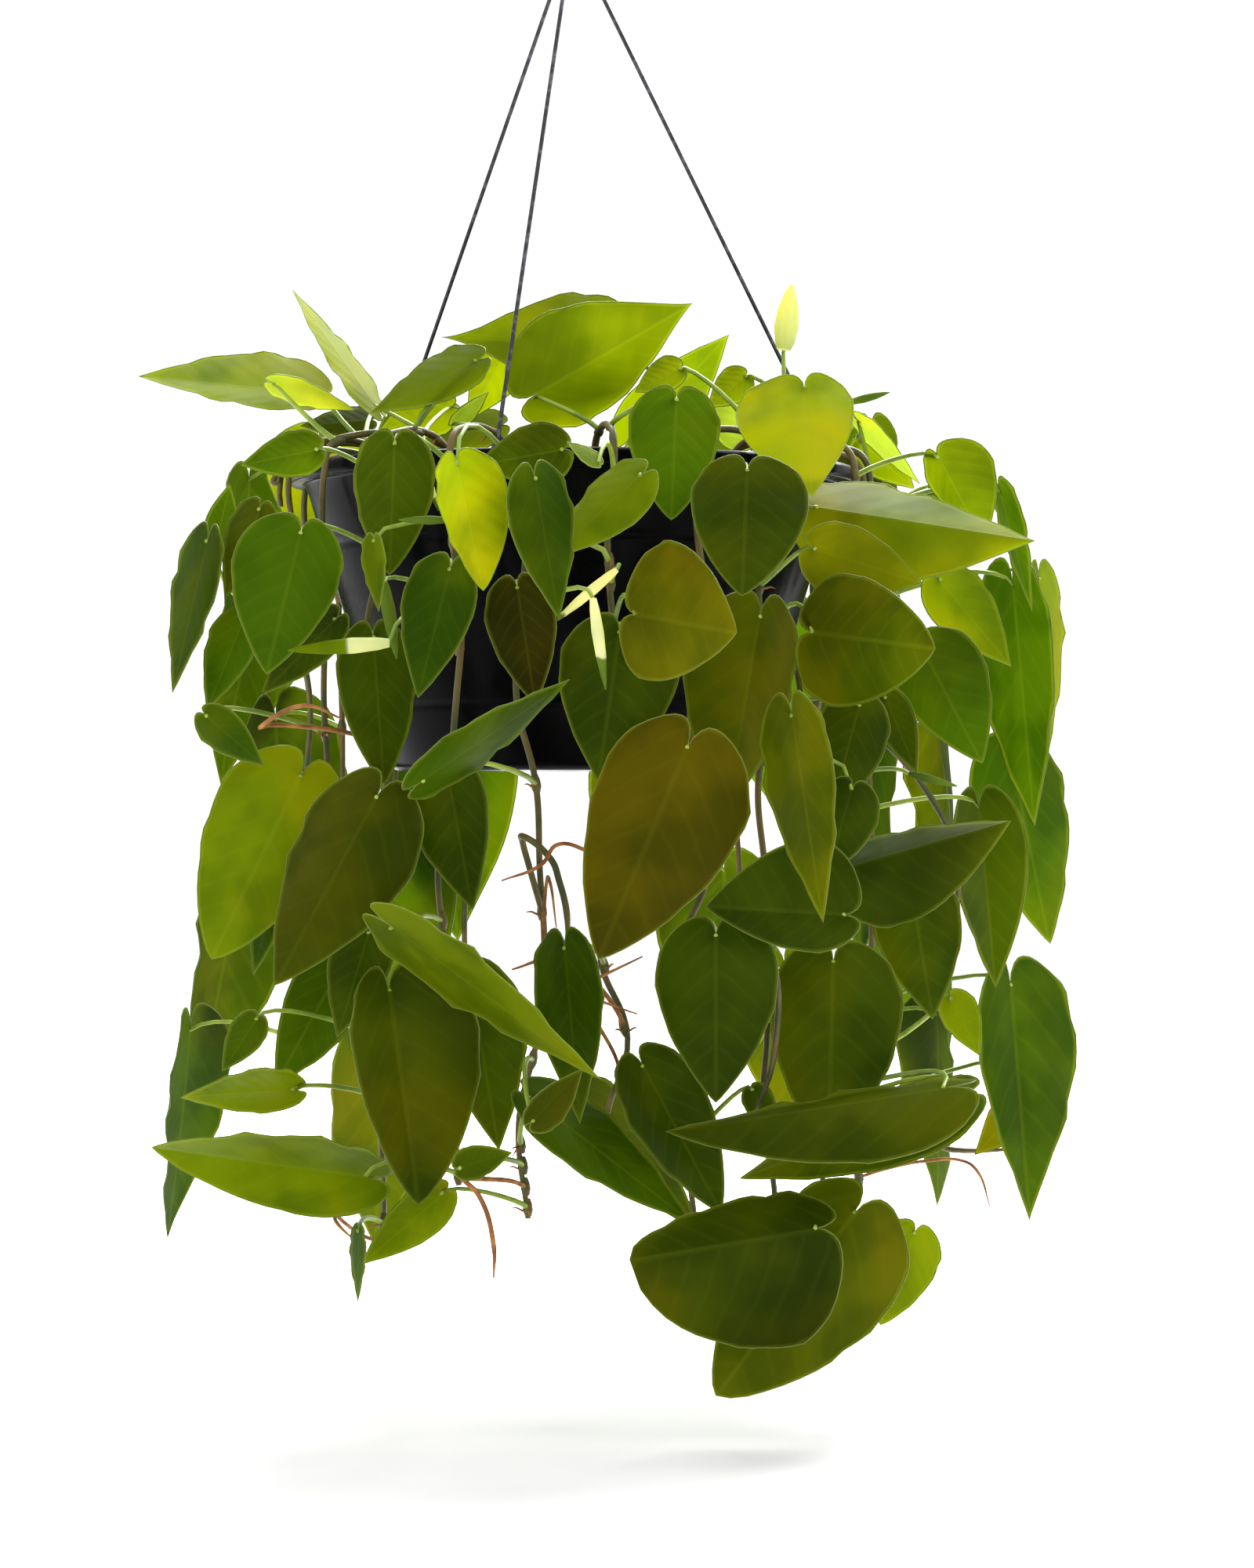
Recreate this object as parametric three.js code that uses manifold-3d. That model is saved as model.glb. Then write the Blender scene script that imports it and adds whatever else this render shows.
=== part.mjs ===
// A golden heartleaf philodendron that trails from a hanging pot.
// Millimetres, +Z up, -Y towards the viewer, origin where the hook hangs.
import * as THREE from "three";
import { mergeVertices } from "three/addons/utils/BufferGeometryUtils.js";
import Module from "manifold-3d";

const wasm = await Module();
wasm.setup();

// Driving dimensions of the hanger and the pot
const APEX_DROP = 60; // from the hanging point down to where the wires' lines meet
const RIM_DROP = 205; // from there down to the pot's rim
const RIM_Z = -APEX_DROP - RIM_DROP;
const POT_RIM_R = 109;
const POT_LIP = 7;
const POT_LIP_DEEP = 6;
const POT_BASE_R = 70;
const POT_DEEP = 115;
const POT_WALL = 2.2;
const POT_SIDES = 24;
const DRAIN_HOLES = 6;
const DRAIN_R = 4.5;
const DRAIN_RING_R = 38;
const SOIL_BELOW_RIM = 12;
const SOIL_CROWN = 3; // the soil stands this much higher in the middle
const FIT_GAP = 0.3;
const WIRE_R = 0.8;
const WIRE_TURNS = [105.5, 225.5, 345.5]; // degrees from the front, round to the right
const WIRE_HOLE_R = 1.7;
const WIRE_RING_R = 104.5;
const WIRE_TOP = 0.024; // a wire starts this share of the way down, in the ferrule
const WIRE_KNEE = 6; // and bends upright this far above the rim
const J_R = 3.4; // the hooked end of a wire under the lip
const J_DROP = 4.4;
const HOOK_R = 13.5;
const HOOK_WIRE_R = 1.5;
const FERRULE_R = [9, 5];
const FERRULE_LONG = 22;

// Driving dimensions of the plant
const VIEW = 1500; // the leaves that show from the front are placed as seen from this far
const EYE_Z = RIM_Z - 120;
const STEMS = 24;
const STEM_R = 1.3;
const STEM_RING_R = 114; // the stems hang this far from the pot's axis
const SOIL_RING_R = [60, 72]; // and stand in the soil on these rings in turn
const PETIOLE_R = 0.95;
const BLADE_THICK = 0.9;
const LOBE = 0.12; // the lobes reach back past the notch by this share of the blade
const WIDEST = 0.22; // a blade is widest this share of the way to its tip
const FULL = 0.65; // less makes a blade fuller before its drip tip
const LEAF_INSIDE_R = 121.5; // below the rim no blade comes nearer to the axis
const BLADE_CLEAR = 5.6; // between the sample points of two blades
const STALK_CLEAR = 5; // between a stalk's points and a blade's
const OWN_CLEAR = 2.2;
const STALK_STEPS = 3;
const STALK_LONG = [8, 34, 95]; // shortest, usual and longest gap that a stalk spans
const LIFTS = [0.08, 0.25, -0.1, 0.45]; // how far a stalk rises from its blade, as shares of its length
const SPREADS = [0.25, 0.08, 0.45]; // and how far it stands out from its stem
const STALK_BENDS = LIFTS.flatMap((lift) => SPREADS.map((spread) => [lift, spread]));
const LAYER = 9; // one layer of leaves behind another
const BARREL_R = 174;
const CROWN_R = 112;

// Leaves as they show from the front, the nearest first. Each row gives the notch across and up from the
// rim's middle, the tip across and up, the widths seen on the two sides of the midrib (the first is the
// right one of a hanging leaf), which side is nearer (1 the first, -1 the second, 2 both, -2 none), whether
// the tip comes nearer (1) or not (-1), how many layers behind the front it lies and, for some, how full it
// is.
const FRONT_LEAVES = [
  [-14, 29, 46, 64, 25, 19, 1, 1, 0, 0.75],
  [-44, 2, -34, -46, 17, 10, 1, 1, 0, 0.5],
  [44, -106, 10, -187, 32, 27, 1, 1, 0, 0.5],
  [24, -55, 63, -62, 30, 24, -1, 1, 0, 0.5],
  [89, 32, 92, -10, 18, 27, 1, 1, 0],
  [94, -14, 177, -27, 12, 26, -1, 1, 0],
  [92, -62, 139, -68, 24, 27, 1, 1, 0, 0.45],
  [72, -56, 59, -132, 17, 26, -1, 1, 1, 0.6],
  [67, 0, 65, -48, 24, 21, 1, 1, 1, 0.5],
  [84, -94, 96, -173, 13, 14, 1, 1, 1],
  [40, 27, 38, -19, 17, 18, -1, 1, 1, 0.5],
  [-69, -175, 11, -233, 11, 10, 1, 1, 0, 0.7],
  [-70, -199, -59, -281, 32, 17, -1, 1, 0, 0.45],
  [-75, -125, -114, -197, 26, 20, 1, 1, 0, 0.55],
  [-104, -117, -138, -187, 24, 26, 1, 1, 3, 0.45],
  [-104, -24, -117, -78, 19, 23, -1, 1, 0, 0.55],
  [-97, 13, -98, -32, 19, 20, 1, 1, 0, 0.6],
  [-47, -38, -59, -87, 13, 15, 1, 1, 1, 0.6],
  [-14, -3, -5, -57, 12, 13, -1, 1, 0],
  [26, -2, -9, -34, 12, 10, 1, 1, 1],
  [-57, -119, -1, -80, 9, 8, 1, 1, 0],
  [142, -236, 36, -253, 24, 4, 1, 1, 0, 0.55],
  [100, -188, 98, -258, 27, 24, 1, 1, 1, 0.45],
  [93, -290, 22, -302, 43, 16, 1, 1, 0, 0.28],
  [108, -284, 55, -354, 33, 24, 1, 1, 1, 0.42],
  [131, -292, 118, -327, 13, 14, -1, 1, 2, 0.5],
  [104, -152, 168, -134, 8, 27, -1, 1, 1, 0.6],
  [104, -170, 51, -167, 15, 28, 1, 1, 1, 0.55],
  [18, -62, 10, -119, 25, 21, 1, 1, 1, 0.6],
  [-21, -45, -14, -90, 13, 14, 1, 1, 1, 0.6],
  [-68, 10, -70, -40, 16, 15, 1, 1, 3, 0.5],
  [22, 12, 60, 52, 12, 14, 1, 1, 4],
  [20, 47, -50, 51, 17, 20, 1, -1, 5, 1],
  [-47, 24, -74, 15, 9, 11, 1, 1, 1],
  [-37, 42, -77, 22, 9, 9, 1, 1, 3],
  [-100, 29, -166, 36, 7, 14, 1, 1, 2],
  [-76, 25, -107, 69, 5, 5, 1, 1, 1],
  [-114, 33, -83, 23, 5, 5, 1, 1, 0],
  [-78, 19, -104, 17, 6, 6, 1, 1, 3],
  [-45, 18, -32, 30, 3, 4, 1, 1, 1],
  [-98, 8, -127, 2, 9, 9, 1, 1, 2],
  [140, 5, 158, -28, 18, 8, 1, 1, 3, 0.6],
  [164, -8, 176, -54, 6, 4, 1, 1, 0],
  [93, -30, 134, -43, 13, 15, 1, 1, 1, 0.6],
  [111, 11, 131, -7, 8, 8, 1, -1, 3],
  [110, 19, 133, -5, 4, 4, 1, 1, 2],
  [169, -44, 177, -136, 13, 17, 1, 1, 0, 0.6],
  [179, -42, 182, -110, 8, 7, -1, -1, 2],
  [168, -108, 183, -181, 17, 19, -1, 1, 0, 0.55],
  [156, -129, 162, -198, 17, 12, 1, -1, 2, 0.6],
  [134, -68, 157, -112, 19, 16, 1, 1, 1, 0.55],
  [141, -42, 168, -75, 12, 12, -1, 1, 2],
  [120, -87, 132, -116, 8, 8, 1, 1, 2],
  [110, -90, 98, -134, 14, 14, 1, 1, 3, 0.6],
  [130, -160, 138, -210, 17, 17, -1, 1, 2, 0.6],
  [107, -122, 97, -156, 13, 12, -1, 1, 3, 0.6],
  [141, -151, 143, -166, 3, 3, 1, 1, 1],
  [145, -202, 156, -224, 8, 7, 1, 1, 2],
  [168, -197, 175, -287, 23, 14, -1, 1, 0, 0.7],
  [180, -235, 154, -262, 11, 10, 1, 1, 2],
  [147, -240, 64, -271, 17, 12, 1, 1, 2, 0.6],
  [27, -228, 57, -284, 17, 15, 1, 1, 1, 0.5],
  [3, -240, 49, -291, 14, 14, -1, 1, 2],
  [-14, -241, 46, -288, 13, 12, -1, 1, 1, 0.6],
  [-3, -183, 3, -250, 13, 13, 1, 1, 2],
  [-15, -249, 4, -229, 6, 8, 1, 1, 0],
  [55, -178, 55, -242, 24, 23, 1, 1, 2, 0.55],
  [69, -237, 78, -253, 6, 6, 1, 1, 2],
  [-48, -114, -38, -168, 13, 18, 1, 1, 2, 0.6],
  [-39, -195, -28, -260, 18, 16, -1, 1, 3, 0.6],
  [-78, -177, -90, -217, 12, 12, 1, 1, 3],
  [-79, -270, -161, -259, 18, 12, 1, 1, 0, 0.5],
  [-107, -237, -150, -240, 8, 9, 1, 1, 1],
  [-121, -210, -134, -230, 7, 7, 1, 1, 1],
  [-87, -187, -114, -236, 16, 14, -1, 1, 2, 0.6],
  [-50, -277, -81, -304, 10, 9, 1, 1, 1],
  [-82, -291, -82, -318, 3, 3, 1, 1, 1],
  [-43, -267, -23, -261, 7, 6, 1, 1, 1],
  [-116, -168, -122, -193, 5, 5, 1, 1, 2],
  [-76, -64, -72, -120, 15, 15, -1, 1, 2, 0.5],
  [-91, -57, -119, -86, 9, 10, 1, 1, 2],
  [-76, -27, -74, -54, 4, 5, 1, 1, 1],
  [-140, -27, -153, -85, 8, 9, 1, 1, 1],
  [-136, -27, -131, -5, 6, 7, 1, 1, 2],
  [-120, -15, -133, -49, 10, 9, 1, 1, 2],
  [-126, -57, -140, -92, 9, 10, 1, 1, 1],
  [-140, -94, -118, -113, 8, 8, 1, 1, 1],
  [-4, 8, -37, 2, 12, 12, 1, 1, 3],
  [-28, 17, -59, 10, 7, 8, 1, 1, 3],
  [10, 3, -2, 11, 3, 3, 1, 1, 2],
  [41, 39, 24, 30, 6, 7, 1, 1, 3],
  [66, 36, 52, 24, 7, 7, 1, 1, 3],
  [-22, 52, -40, 19, 12, 10, 1, 1, 3],
  [69, 12, 58, 36, 12, 10, 1, 1, 3],
];

// Rows of leaves round the sides and the back: height of the notch above the rim, degrees of the first leaf
// from the front, degrees between leaves, their number and their length
const BACK_ROWS = [
  [30, 134, 36, 3, 66],
  [4, 104, 31, 5, 74],
  [-46, 116, 30, 5, 84],
  [-100, 98, 30, 3, 88],
  [-100, 208, 28, 2, 88],
  [-156, 116, 36, 2, 90],
  [-156, 210, 28, 2, 90],
  [-204, 108, 36, 2, 74],
  [-214, 210, 34, 2, 84],
];
const BACK_SPREAD = { turn: 8, height: 9, long: 0.14, tilt: 16 };
const BACK_ENVELOPE = [150, 172];

// Rolled young leaves: base and point across and up, how thick and how many layers behind the front
const ROLLED_LEAVES = [
  [81, 46, 84, 72, 4.6, 3],
  [17, -38, -8, -59, 1.9, 0],
  [8, -49, 13, -85, 2.1, 0],
  [-70, -66, -110, -69, 2.8, 0],
  [-72, -43, -67, -73, 2.5, 0],
  [106, 26, 122, 30, 1.6, 2],
  [129, -116, 148, -121, 1.6, 1],
  [-48, -19, -67, -19, 1.6, 1],
  [-58, 5, -51, -16, 1.6, 0],
];

// Stems and roots that show between the leaves: how thick and how many layers behind the front, then points
// across and up
const SHOOTS = [
  [1.3, 5, [-19, -140], [-8, -149], [-5, -157], [-2, -170], [-2, -184]],
  [0.8, 4, [-12, -151], [-27, -157]],
  [0.7, 4, [-9, -156], [-6, -175]],
  [1, 5, [-5, -186], [-23, -191]],
  [0.8, 4, [4, -197], [27, -186]],
  [0.8, 4, [4, -202], [25, -208]],
  [1.3, 2, [115, -102], [144, -137], [148, -158], [136, -202]],
  [1.3, 3, [74, -180], [77, -225], [65, -256]],
  [1.3, 2, [146, -260], [181, -259]],
  [0.7, 2, [155, -268], [160, -282]],
  [1, 1, [-42, -271], [-36, -277], [-30, -297], [-30, -309]],
  [0.8, 1, [-90, -288], [-83, -295]],
  [0.9, 1, [-119, -98], [-103, -90], [-88, -95]],
];

// Seeded draws, the same on every run
let drawn = 71;
function draw(low, high) {
  drawn = (drawn * 1664525 + 1013904223) % 4294967296;
  return low + ((high - low) * drawn) / 4294967296;
}

// Solids
const FLAT = { roughness: 0.6, metalness: 0 };
const material = (color, extra = {}) => new THREE.MeshStandardMaterial({ color, ...FLAT, ...extra });
const LEAF_GREEN = material("#7c9c1c", { roughness: 0.45 });
const BLACK_PLASTIC = material("#15181a", { roughness: 0.28 });
const DARK_WIRE = material("#3b3c3e", { roughness: 0.45, metalness: 0.8 });
const SOIL_BROWN = material("#3a2a1d", { roughness: 0.95 });

function solid(geometry) {
  const bare = geometry.clone();
  bare.deleteAttribute("normal");
  bare.deleteAttribute("uv");
  const merged = mergeVertices(bare, 1e-4);
  return new wasm.Manifold(
    new wasm.Mesh({
      numProp: 3,
      vertProperties: merged.attributes.position.array,
      triVerts: new Uint32Array(merged.index.array),
    }),
  );
}

function meshOf(name, made, look) {
  const { vertProperties, triVerts } = made.getMesh();
  const geometry = new THREE.BufferGeometry();
  geometry.setAttribute("position", new THREE.BufferAttribute(vertProperties, 3));
  geometry.setIndex(new THREE.BufferAttribute(triVerts, 1));
  geometry.computeVertexNormals();
  const mesh = new THREE.Mesh(geometry, look);
  mesh.name = name;
  return mesh;
}

const join = (parts) => parts.reduce((whole, part) => whole.add(part));
const degrees = (turn) => (turn * Math.PI) / 180;
const round = (turn, r, z) =>
  new THREE.Vector3(r * Math.sin(degrees(turn)), -r * Math.cos(degrees(turn)), z);

// A body turned round the pot's axis, from points of radius and height
function turned(profile, sides, z = 0) {
  const points = profile.map(([r, h]) => new THREE.Vector2(r, h));
  return solid(new THREE.LatheGeometry(points, sides).rotateX(Math.PI / 2).translate(0, 0, z));
}

// A round bar of few sides along a smooth path
function bar(path, r, sides, steps) {
  const corners = Array.from({ length: sides }, (_, i) =>
    new THREE.Vector2(r, 0).rotateAround(new THREE.Vector2(), (2 * Math.PI * i) / sides),
  );
  const extrudePath = new THREE.CatmullRomCurve3(path, false, "centripetal");
  const settings = { steps, bevelEnabled: false, extrudePath };
  return solid(new THREE.ExtrudeGeometry(new THREE.Shape(corners), settings));
}

// A straight peg between two points
function peg(from, to, r, sides) {
  const long = from.distanceTo(to);
  const geometry = new THREE.CylinderGeometry(r, r, long, sides);
  const along = to.clone().sub(from).normalize();
  geometry.applyQuaternion(new THREE.Quaternion().setFromUnitVectors(new THREE.Vector3(0, 1, 0), along));
  const middle = from.clone().lerp(to, 0.5);
  return solid(geometry.translate(middle.x, middle.y, middle.z));
}

// A closed skin over rings of points, with a flat end on each
function loft(rings) {
  const sides = rings[0].length;
  const index = [];
  for (let i = 0; i + 1 < rings.length; i++)
    for (let j = 0; j < sides; j++) {
      const a = i * sides + j;
      const b = i * sides + ((j + 1) % sides);
      index.push(a, b, b + sides, a, b + sides, a + sides);
    }
  const last = (rings.length - 1) * sides;
  for (let j = 1; j + 1 < sides; j++) index.push(0, j + 1, j, last, last + j, last + j + 1);
  return { points: rings.flat(), index };
}

// Rings of few sides round a path, each turned as the one before
function ringsAlong(path, radii, sides, first) {
  let side = first.clone();
  return path.map((point, i) => {
    const along = path[Math.min(i + 1, path.length - 1)].clone().sub(path[Math.max(i - 1, 0)]).normalize();
    side = side.clone().addScaledVector(along, -side.dot(along)).normalize();
    const up = along.clone().cross(side);
    return Array.from({ length: sides }, (_, j) => {
      const a = (2 * Math.PI * (j + 0.5)) / sides;
      const r = radii[Math.min(i, radii.length - 1)];
      return point.clone().addScaledVector(side, r * Math.cos(a)).addScaledVector(up, r * Math.sin(a));
    });
  });
}

function solidOf({ points, index }) {
  const geometry = new THREE.BufferGeometry().setFromPoints(points).setIndex(index);
  const made = solid(geometry);
  if (made.volume() > 0) return made;
  for (let i = 0; i < index.length; i += 3) [index[i + 1], index[i + 2]] = [index[i + 2], index[i + 1]];
  return solid(geometry.setIndex(index));
}

// The hanger: each wire is straight down to its knee, then hooks under the pot's lip
const wireAt = (turn, share) =>
  round(turn, WIRE_RING_R * share, -APEX_DROP - (RIM_DROP - WIRE_KNEE) * share);

function wireHook(turn) {
  const middle = WIRE_RING_R + J_R;
  const path = [wireAt(turn, 0.97), round(turn, WIRE_RING_R, RIM_Z + WIRE_KNEE - 2)];
  path.push(round(turn, WIRE_RING_R, RIM_Z - 1));
  for (const a of [10, 50, 90, 130, 180])
    path.push(
      round(turn, middle - J_R * Math.cos(degrees(a)), RIM_Z - J_DROP - J_R * Math.sin(degrees(a))),
    );
  path.push(round(turn, middle + J_R, RIM_Z + 1));
  return path;
}

function makeHanger() {
  const pieces = WIRE_TURNS.map((turn, i) => {
    const straight = peg(wireAt(turn, WIRE_TOP), wireAt(turn, 0.975), WIRE_R, 6);
    const wire = straight.add(bar(wireHook(turn), WIRE_R, 6, 9));
    return meshOf("hanger_wire_" + (i + 1), wire, DARK_WIRE);
  });
  const bottom = -APEX_DROP - 14;
  let ferrule = turned(
    [
      [0, 0],
      [FERRULE_R[0], 0],
      [FERRULE_R[0], 5],
      [FERRULE_R[1], FERRULE_LONG - 3],
      [FERRULE_R[1] - 1, FERRULE_LONG],
      [0, FERRULE_LONG],
    ],
    12,
    bottom,
  );
  for (const turn of WIRE_TURNS) {
    const hole = peg(wireAt(turn, 0.12), wireAt(turn, WIRE_TOP - 0.005), WIRE_R + FIT_GAP + 0.1, 6);
    ferrule = ferrule.subtract(hole);
  }
  const socket = [new THREE.Vector3(0, 0, -APEX_DROP), new THREE.Vector3(0, 0, -APEX_DROP + 20)];
  ferrule = ferrule.subtract(peg(socket[0], socket[1], HOOK_WIRE_R + FIT_GAP, 12));
  pieces.push(meshOf("hanger_ferrule", ferrule, DARK_WIRE));
  const at = (x, z) => new THREE.Vector3(x, 0, z);
  const middle = HOOK_WIRE_R - HOOK_R;
  const path = [at(-HOOK_R - 1, middle - 12), at(-HOOK_R, middle - 4)];
  for (const a of [165, 135, 105, 75, 45, 15])
    path.push(at(HOOK_R * Math.cos(degrees(a)), middle + HOOK_R * Math.sin(degrees(a))));
  path.push(at(HOOK_R, middle - 5), at(9, middle - 17), at(2, middle - 25));
  path.push(at(0, middle - 33), at(0, -APEX_DROP + 0.6));
  pieces.push(meshOf("hanger_hook", bar(path, HOOK_WIRE_R, 8, 15), DARK_WIRE));
  return pieces;
}

// The pot and its soil
function makePot() {
  const lipInside = POT_RIM_R - POT_LIP;
  let pot = turned(
    [
      [0, -POT_DEEP],
      [POT_BASE_R - 3, -POT_DEEP],
      [POT_BASE_R, -POT_DEEP + 2],
      [lipInside - 2, -POT_LIP_DEEP - 6],
      [lipInside, -POT_LIP_DEEP],
      [POT_RIM_R - 1, -POT_LIP_DEEP],
      [POT_RIM_R, -POT_LIP_DEEP + 1.5],
      [POT_RIM_R, -1.5],
      [POT_RIM_R - 1.5, 0],
      [lipInside - POT_WALL, 0],
      [lipInside - 2 - POT_WALL, -POT_LIP_DEEP - 6],
      [POT_BASE_R - POT_WALL, -POT_DEEP + POT_WALL + 1],
      [0, -POT_DEEP + POT_WALL + 1],
    ],
    POT_SIDES,
    RIM_Z,
  );
  for (const turn of WIRE_TURNS)
    pot = pot.subtract(
      peg(round(turn, WIRE_RING_R, RIM_Z + 3), round(turn, WIRE_RING_R, RIM_Z - 9), WIRE_HOLE_R, 12),
    );
  for (let i = 0; i < DRAIN_HOLES; i++) {
    const turn = (360 / DRAIN_HOLES) * i;
    const low = round(turn, DRAIN_RING_R, RIM_Z - POT_DEEP - 2);
    const high = round(turn, DRAIN_RING_R, RIM_Z - POT_DEEP + POT_WALL + 2);
    pot = pot.subtract(peg(low, high, DRAIN_R, 8));
  }
  return meshOf("pot", pot, BLACK_PLASTIC);
}

function makeSoil(stems) {
  const foot = -POT_DEEP + POT_WALL + 1 + FIT_GAP;
  const lipInside = POT_RIM_R - POT_LIP;
  let soil = turned(
    [
      [0, foot],
      [POT_BASE_R - POT_WALL - 0.6, foot],
      [lipInside - 2 - POT_WALL - 0.6, -SOIL_BELOW_RIM],
      [lipInside - 22, -SOIL_BELOW_RIM + 1],
      [lipInside - 52, -SOIL_BELOW_RIM + SOIL_CROWN],
      [0, -SOIL_BELOW_RIM + SOIL_CROWN + 1],
    ],
    POT_SIDES,
    RIM_Z,
  );
  for (const stem of stems) {
    const low = stem.path[0].clone();
    low.z -= 2;
    const high = low.clone();
    high.z = RIM_Z;
    soil = soil.subtract(peg(low, high, STEM_R + 0.6, 6));
  }
  return meshOf("soil", soil, SOIL_BROWN);
}

// The stems: out of the soil, over the rim and down
function stemPath(k) {
  const step = 360 / STEMS;
  const turn = step * (k + 0.5);
  const ring = SOIL_RING_R[k % 2];
  const path = [
    round(turn, ring, RIM_Z - 30),
    round(turn, ring, RIM_Z - 7),
    round(turn, ring + 5, RIM_Z + 4),
    round(turn, ring + 14, RIM_Z + 8),
    round(turn, STEM_RING_R - 11, RIM_Z + 7.5),
    round(turn, STEM_RING_R - 3, RIM_Z + 4),
    round(turn, STEM_RING_R, RIM_Z - 6),
  ];
  let sway = turn;
  for (let z = -30; z > -330; z -= 30) {
    sway = turn + draw(-2.6, 2.6);
    path.push(round(sway, STEM_RING_R + draw(-1.5, 1.5), RIM_Z + z));
  }
  return path;
}

const makeStems = () =>
  Array.from({ length: STEMS }, (_, k) => {
    const path = stemPath(k);
    const dots = dotsAlong(path, 4);
    const first = dots.findIndex((dot) => dot.z > RIM_Z + 5);
    return { turn: (360 / STEMS) * (k + 0.5), path, dots, leaves: [], first, end: first + 14 };
  });

// Points at even steps along straight stretches
function dotsAlong(path, step) {
  const dots = [];
  for (let i = 0; i + 1 < path.length; i++) {
    const count = Math.ceil(path[i].distanceTo(path[i + 1]) / step);
    for (let j = 0; j < count; j++) dots.push(path[i].clone().lerp(path[i + 1], j / count));
  }
  dots.push(path.at(-1).clone());
  return dots;
}

// The blades: a heart drawn across a leaf's own view, with a depth at each point
function profile(s, full) {
  if (s < WIDEST) return 1 - 4.5 * (WIDEST - s) ** 2;
  return (0.5 + 0.5 * Math.cos((Math.PI * (s - WIDEST)) / (1 - WIDEST))) ** full;
}

const SIDES = { 1: [1, -1], "-1": [-1, 1], 2: [1, 1], "-2": [-1, -1], 0: [0, 0] };

function leafOf(at, tip, wide, side, near, frame, full = FULL) {
  const long = Math.hypot(tip[0] - at[0], tip[1] - at[1]);
  const ahead = [(tip[0] - at[0]) / long, (tip[1] - at[1]) / long];
  const asIfFlat = (wide[0] + wide[1]) / 0.86;
  const foreshortened = Math.sqrt(Math.max(0, asIfFlat ** 2 - long ** 2));
  const lean = near * (0.12 * long + Math.min(foreshortened, 0.8 * long));
  const real = Math.hypot(long, lean);
  const hidden = wide.map((w) => Math.min(Math.sqrt(Math.max(0, (0.3 * real) ** 2 - w ** 2)), 0.9 * real));
  const [toA, toB] = SIDES[side];
  const turns = [hidden[0] * toA, hidden[1] * toB];
  const wave = draw(0, 6.28);
  const arch = draw(-0.16, 0.05) * real;
  return { at, long, ahead, wide, turns, lean, wave, arch, real, frame, full, out: 0 };
}

function bladePoint(leaf, across, along) {
  const share = Math.abs(across);
  const back = -LOBE * Math.sqrt(Math.max(0, 1 - Math.abs(2 * share - 1) ** 2.5));
  const s = back + (1 - back) * along;
  const reach = share * profile(Math.min(s, 1), leaf.full);
  const half = across > 0 ? 0 : 1;
  const sideways = Math.sign(across) * reach * leaf.wide[half];
  const [ax, ah] = leaf.ahead;
  const u = leaf.at[0] + ax * s * leaf.long - ah * sideways;
  const h = leaf.at[1] + ah * s * leaf.long + ax * sideways;
  const bend = leaf.arch * s * s - 0.09 * leaf.real * reach * reach;
  const ripple = 0.02 * leaf.real * Math.sin(9 * s + leaf.wave) * reach * reach;
  const out = leaf.out + leaf.lean * s + leaf.turns[half] * reach + bend + ripple;
  return seen(leaf.frame, u, h, out);
}

// A point seen across and up from the rim's middle, so far out from the axis, in the part's own frame
function seen(frame, u, h, out) {
  if (frame === null) {
    const scale = 1 - out / VIEW;
    return new THREE.Vector3(u * scale, -out, EYE_Z + (RIM_Z + h - EYE_Z) * scale);
  }
  const a = degrees(frame);
  const x = u * Math.cos(a) + out * Math.sin(a);
  const y = u * Math.sin(a) - out * Math.cos(a);
  return new THREE.Vector3(x, y, RIM_Z + h);
}

const shootPoints = (leaf) => leaf.points.map(([u, h]) => seen(null, u, h, leaf.out));

// The points of a leaf or a shoot that others keep clear of
function dotsOf(leaf) {
  if (leaf.points) return dotsAlong(shootPoints(leaf), 3);
  const dots = [];
  for (let i = -5; i <= 5; i++) for (let j = 0; j <= 12; j++) dots.push(bladePoint(leaf, i / 5, j / 12));
  return dots;
}

// Clear room: sets of points with their boxes
const crowd = [];
function addCrowd(dots, owner, clear) {
  const box = new THREE.Box3().setFromPoints(dots).expandByScalar(BLADE_CLEAR);
  crowd.push({ dots, owner, clear, box });
}

function touches(dots, clear, others = crowd) {
  const box = new THREE.Box3().setFromPoints(dots);
  for (const other of others) {
    if (!other.box.intersectsBox(box)) continue;
    const least = Math.min(clear, other.clear) ** 2;
    for (const dot of dots) {
      if (!other.box.containsPoint(dot)) continue;
      for (const near of other.dots) if (dot.distanceToSquared(near) < least) return true;
    }
  }
  return false;
}

// Beside the pot nothing comes nearer to the axis than r
const reachesPot = (dots, r, above) =>
  dots.some((dot) => {
    const height = dot.z - RIM_Z;
    return height < above && height > -POT_DEEP - 5 && Math.hypot(dot.x, dot.y) < r;
  });

// A leaf is moved in from the front, or else out, until it has room
function settle(leaf, start) {
  const tries = [];
  for (let i = 0; i < 60; i++) tries.push(start - 3 * i);
  for (let i = 1; i < 22; i++) tries.push(start + 3 * i);
  for (const clear of [BLADE_CLEAR, 0.75 * BLADE_CLEAR])
    for (const out of tries) {
      leaf.out = out;
      const dots = dotsOf(leaf);
      if (reachesPot(dots, LEAF_INSIDE_R, 12) || touches(dots, clear)) continue;
      addCrowd(dots, leaf, BLADE_CLEAR);
      return true;
    }
  leaf.out = start;
  addCrowd(dotsOf(leaf), leaf, BLADE_CLEAR);
  return false;
}

function frontStart([u, h, tipU, , , , , , layer]) {
  const radius = h > 10 ? CROWN_R : BARREL_R;
  const middle = (u + tipU) / 2;
  return Math.sqrt(Math.max(radius ** 2 - middle ** 2, (0.2 * radius) ** 2)) - LAYER * layer;
}

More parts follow.
